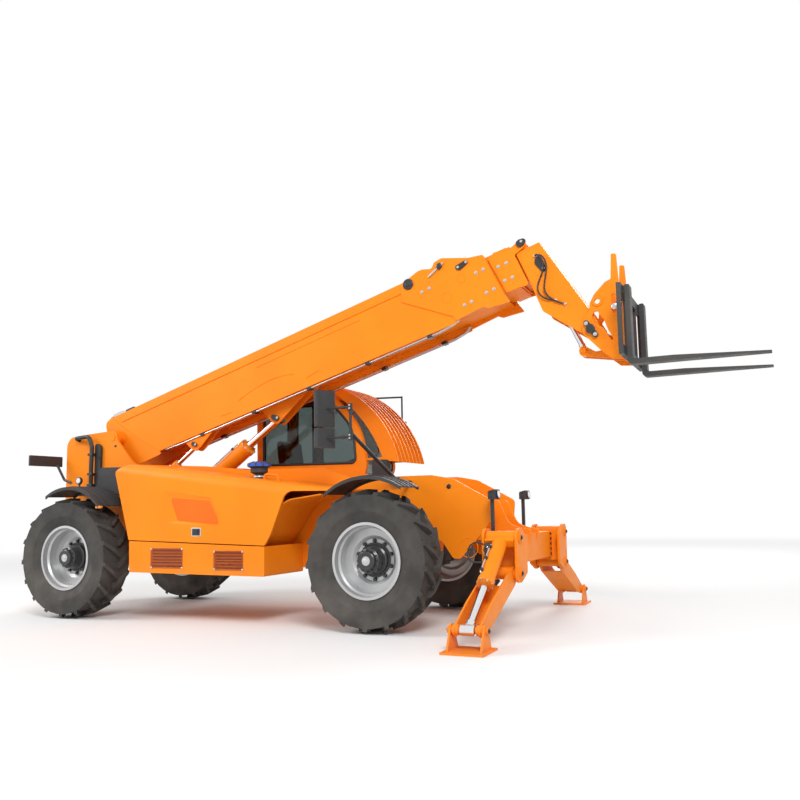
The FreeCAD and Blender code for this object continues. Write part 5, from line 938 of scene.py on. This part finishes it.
# Front of the frame: a plugged access hole and a welded ring in the side plates, a black valve box
# on the left plate ahead of the cab, and the screws of the crossbeam's flange and pins.
for name, side in SIDE.items():
    bench = bmesh.new()
    turned(bench, [(-4, 0), (-4, 24), (4, 26), (7, 20), (7, 0)], at(556, side * 385, 1408),
           (0, side, 0), 28)
    turned(bench, [(-4, 0), (-4, 15), (5, 16), (7, 12), (7, 0)], at(-4018, side * 385, 2050),
           (0, side, 0), 24)
    settle("frame_plugs_" + name, "chassis", bench, *in_paint)
    ring = [at(759 + 100 * math.cos(math.tau * k / 48), side * 385.5,
               782 + 100 * math.sin(math.tau * k / 48)) for k in range(48)]
    tubes("frame_ring_" + name, "chassis", [ring], *in_enamel, 4.0, 8, True)
    places = [(at(1328, side * 640, z), (1, 0, 0)) for z in (665, 720, 775, 830, 885)]
    heads("beam_flange_screws_" + name, "chassis", places, *in_paint, 11.0, 10.0, 17.0)
    places = [(at(1459, side * y, z), (1, 0, 0)) for y, z in ((830, 570), (830, 900))]
    places += [(at(1077, side * y, z), (-1, 0, 0)) for y, z in ((830, 570), (830, 900))]
    heads("leg_pin_screws_" + name, "chassis", places, *in_paint, 15.0, 10.0, 26.0)
    heads("foot_pin_screws_" + name, "stabiliser_foot_" + name,
          [(at(1448, side * 1755, 180), (1, 0, 0)), (at(1088, side * 1755, 180), (-1, 0, 0))],
          *in_paint, 13.0, 10.0, 22.0)
box = plate(bmesh.new(), [(-735, 1540, 10), (-535, 1520, 10), (-535, 1766, 16), (-735, 1772, 16)],
            at, 362.0, 470.0)
settle("valve_box", "chassis", box, *in_plastic, 5.0)

# Leg cylinders: each carries a black check-valve block with bright fittings, and a short stiff hose
# loops from it to the port at the cylinder's middle.
for name, side in SIDE.items():
    bench = bmesh.new()
    along, square = Vector((0, side * 0.78912, -0.61424)), Vector((0, side * 0.61424, 0.78912))
    middle = at(1186, side * 964, 796)
    valve = [(-0.046, -0.042), (0.046, -0.042), (0.046, 0.042), (-0.046, 0.042)]
    brick(bench, middle, along, square, valve, Vector((0.038, 0, 0)))
    settle("check_valve_" + name, "stabiliser_barrel_" + name, bench, *in_paint, 3.0)
    route = [(1205, 1002, 806), (1150, 1020, 850), (1080, 1010, 872), (1012, 1012, 838),
             (992, 1022, 776), (1008, 1036, 716), (1060, 1056, 686), (1130, 1074, 686),
             (1216, 1090, 690)]
    rubber_hose("leg_hose_" + name, "stabiliser_barrel_" + name,
                [at(x, side * y, z) for x, y, z in route], 0.016)
    bench = bmesh.new()
    turned(bench, [(-12, 0), (-12, 16), (10, 16), (12, 12), (24, 11), (24, 0)],
           at(1200, side * 1002, 808), (-0.8, side * 0.2, 0.6), 20)
    turned(bench, [(-12, 0), (-12, 16), (8, 16), (10, 12), (20, 11), (20, 0)],
           at(1150, side * 955, 770), (-1, 0, 0), 20)
    turned(bench, [(-16, 0), (-16, 16), (4, 16), (6, 12), (14, 11), (14, 0)],
           at(1198, side * 1089, 697), (-1, 0, -0.15), 20)
    settle("leg_hose_fittings_" + name, "stabiliser_barrel_" + name, bench, *in_zinc, 1.0)


# Cab windows: the side, rear and door panes sit in black moulded rubber seals, which lap the sheet
# metal around them and are pressed on.
def on_wall(face, way):
    """Place for a piece on a side wall of the cab, which faces the given way."""
    return lambda a, off, b: at(a, face + way * off, b)


def on_back(a, off, b):
    """Place for a piece on the back wall of the cab."""
    return at(-2400.0 - off, a, b)


# columns: pane, body it rides on, place on its wall, outline
seals = (("right", "chassis", on_wall(385.0, -1),
          [(-2290, 1765, 50), (-960, 1745, 60), (-990, 2160, 500), (-1370, 2570, 120),
           (-2290, 2590, 60)]),
         ("rear_left", "chassis", on_wall(1165.0, 1), oblong(-2290, -2030, 1400, 2590, 50)),
         ("rear", "chassis", on_back,
          [(455, 1600, 40), (1095, 1600, 40), (1095, 2500, 60), (455, 2500, 60)]),
         ("door", "cab_door", on_wall(1165.0, 1),
          [(-1900, 1200, 60), (-1045, 1200, 60), (-995, 1700, 100), (-1085, 2150, 500),
           (-1375, 2540, 100), (-1900, 2540, 60)]))
for name, body, place, rows in seals:
    line = [place(a, 1.0, b) for a, b in rounded(rows, 8)]
    tubes("window_seal_" + name, body, [line], *in_plastic, 15.0 if name != "rear" else 12.0, 10,
          True)


# Cab lining: grey-black foam-backed vinyl covers the pillars, the wall panels and the roof inside,
# so that only the outside of the cab shows enamel.
def under_roof(a, off, b):
    """Place for a piece that lies level under the roof."""
    return at(b, a, off)


cab_vinyl = finish("cab_vinyl", (0.045, 0.045, 0.048), (0.033, 0.033, 0.036), 0.75, grain=220.0,
                   bump=0.25)
bench = bmesh.new()
plate(bench, oblong(-2028, -1964, 1060, 2590, 10), at, 1112.0, 1119.5, 2)
plate(bench, oblong(-2340, -2032, 1050, 1396, 20), at, 1112.0, 1119.5, 3)
plate(bench, [(-2340, 1050, 20), (-960, 1050, 20), (-955, 1728, 40), (-2340, 1748, 40)], at, 430.5,
      438.0, 3)
plate(bench, [(-2340, 1768, 20), (-2296, 1768, 6), (-2296, 2560, 6), (-2340, 2560, 20)], at, 430.5,
      438.0, 3)
plate(bench, oblong(440, 1110, 1050, 1590, 20), endways, -2354.0, -2347.0, 3)
plate(bench, oblong(440, 1110, -2290, -1640, 40), under_roof, 2612.0, 2650.0, 4)
settle("cab_lining", "chassis", bench, cab_vinyl, "seat_fabric", 2.0)

# Door furniture: a bent steel pull handle below the window, painted black, and beside it the lock's
# bright key barrel. Both are screwed through the door's sheet.
grip = [at(x, y, 1120) for x, y in ((-1090, 1164), (-1090, 1204), (-1250, 1204), (-1250, 1164))]
tubes("door_handle", "cab_door", [softened(grip, 18.0)], *in_paint, 9.0, 14)
barrel = turned(bmesh.new(), [(-3, 0), (-3, 20), (6, 20), (10, 15), (10, 6), (8, 5), (8, 0)],
                at(-1320, 1165, 1120), (0, 1, 0), 24)
settle("door_key_barrel", "cab_door", barrel, *in_zinc)

# Mirrors: silvered glass faces the operator in each black housing, and moulded clamps with two
# screws each hold the right-hand housings to their tube.
mirror_silver = finish("mirror_silver", (0.62, 0.65, 0.67), (0.56, 0.59, 0.61), 0.06, metallic=1.0,
                       grain=40.0, bump=0.01)


def in_mirror(a, off, b):
    """Place in the right-hand housings, which are turned 60 degrees from the machine's length."""
    return at(-425 + a * 0.5 - off * 0.86603, -1215 + a * 0.86603 + off * 0.5, b)


bench = bmesh.new()
for z0, z1 in ((2036, 2354), (1822, 1980)):
    plate(bench, oblong(-88, 88, z0, z1, 16), in_mirror, 26.0, 30.0, 3)
plate(bench, oblong(1282, 1418, 2020, 2300, 14), endways, -830.0, -826.5, 3)
settle("mirror_glass", "chassis", bench, mirror_silver, "window_glass", 1.0)
bench = bmesh.new()
for z in (2195, 1900):
    turned(bench, [(-34, 0), (-34, 22), (34, 22), (34, 0)], at(-130, -1215, z), (0, 0, 1), 24)
    turned(bench, [(60, 0), (60, 17), (100, 17), (100, 0)], at(-130, -1215, z), (-1, 0, 0), 20)
settle("mirror_clamps", "chassis", bench, *in_plastic, 2.0)
heads("mirror_clamp_screws", "chassis", [(at(-130, -1237, z + step), (0, -1, 0))
                                         for z in (2195, 1900) for step in (-16, 16)], *in_zinc,
      6.0, 6.0, 9.0)

# Boom flanks: long stiffening beads are pressed into each web, with an arc over the lift
# cylinder's bracket and short welds beside it, all under the same enamel.
for name, side in SIDE.items():
    y = side * 241.0
    arc = [on_boom(u, y, v) for u, v in ((1880, -178), (1965, -152), (2066, -132), (2170, -114),
                                         (2287, -101), (2400, -98), (2511, -106), (2610, -122),
                                         (2702, -148))]
    lines = [[on_boom(2234, y, 117), on_boom(3707, y, 124)], arc,
             [on_boom(2854, y, -255), on_boom(3040, y, -231)],
             [on_boom(1578, y, -265), on_boom(1753, y, -278)],
             [on_boom(3651, y, 221), on_boom(4108, y, 215)]]
    tubes("boom_beads_" + name, "boom_outer", lines, *in_enamel, 4.5, 8)

# Boom tail: a grey valve box is screwed to the top plate at the rear, and two black hoses run
# from it over the tail and in behind the frame's side plate.
bench = bmesh.new()
plate(bench, [(-60, 309, 4), (110, 309, 4), (110, 350, 10), (-60, 350, 10)], on_boom, -226.0,
      -110.0, 3)
box_grey = finish("box_grey", (0.42, 0.43, 0.42), (0.37, 0.38, 0.37), 0.4, metallic=0.4,
                  grain=120.0, bump=0.1, dusty=0.3, dust_top=3.2)
settle("tail_valve_box", "boom_outer", bench, box_grey, "dark_steel", 3.0)
heads("tail_valve_screws", "boom_outer", [(on_boom(u, y, 350), tuple(BOOM_UP)) for u in (-44, 94)
                                          for y in (-210, -126)], *in_zinc, 6.0, 6.0, 10.0)
sensor = plate(bmesh.new(), [(150, 309, 4), (292, 309, 4), (292, 338, 8), (150, 338, 8)], on_boom,
               -226.0, -130.0, 3)
settle("tail_sensor", "boom_outer", sensor, *in_plastic, 3.0)
bends = ((-50, 330), (-130, 322), (-214, 250), (-214, -60))
lines = [softened([on_boom(u, y, v) for u, v in bends], 60.0) for y in (-200, -150)]
tubes("tail_pipes", "boom_outer", lines, hose_rubber, "black_plastic", 11.0, 12)
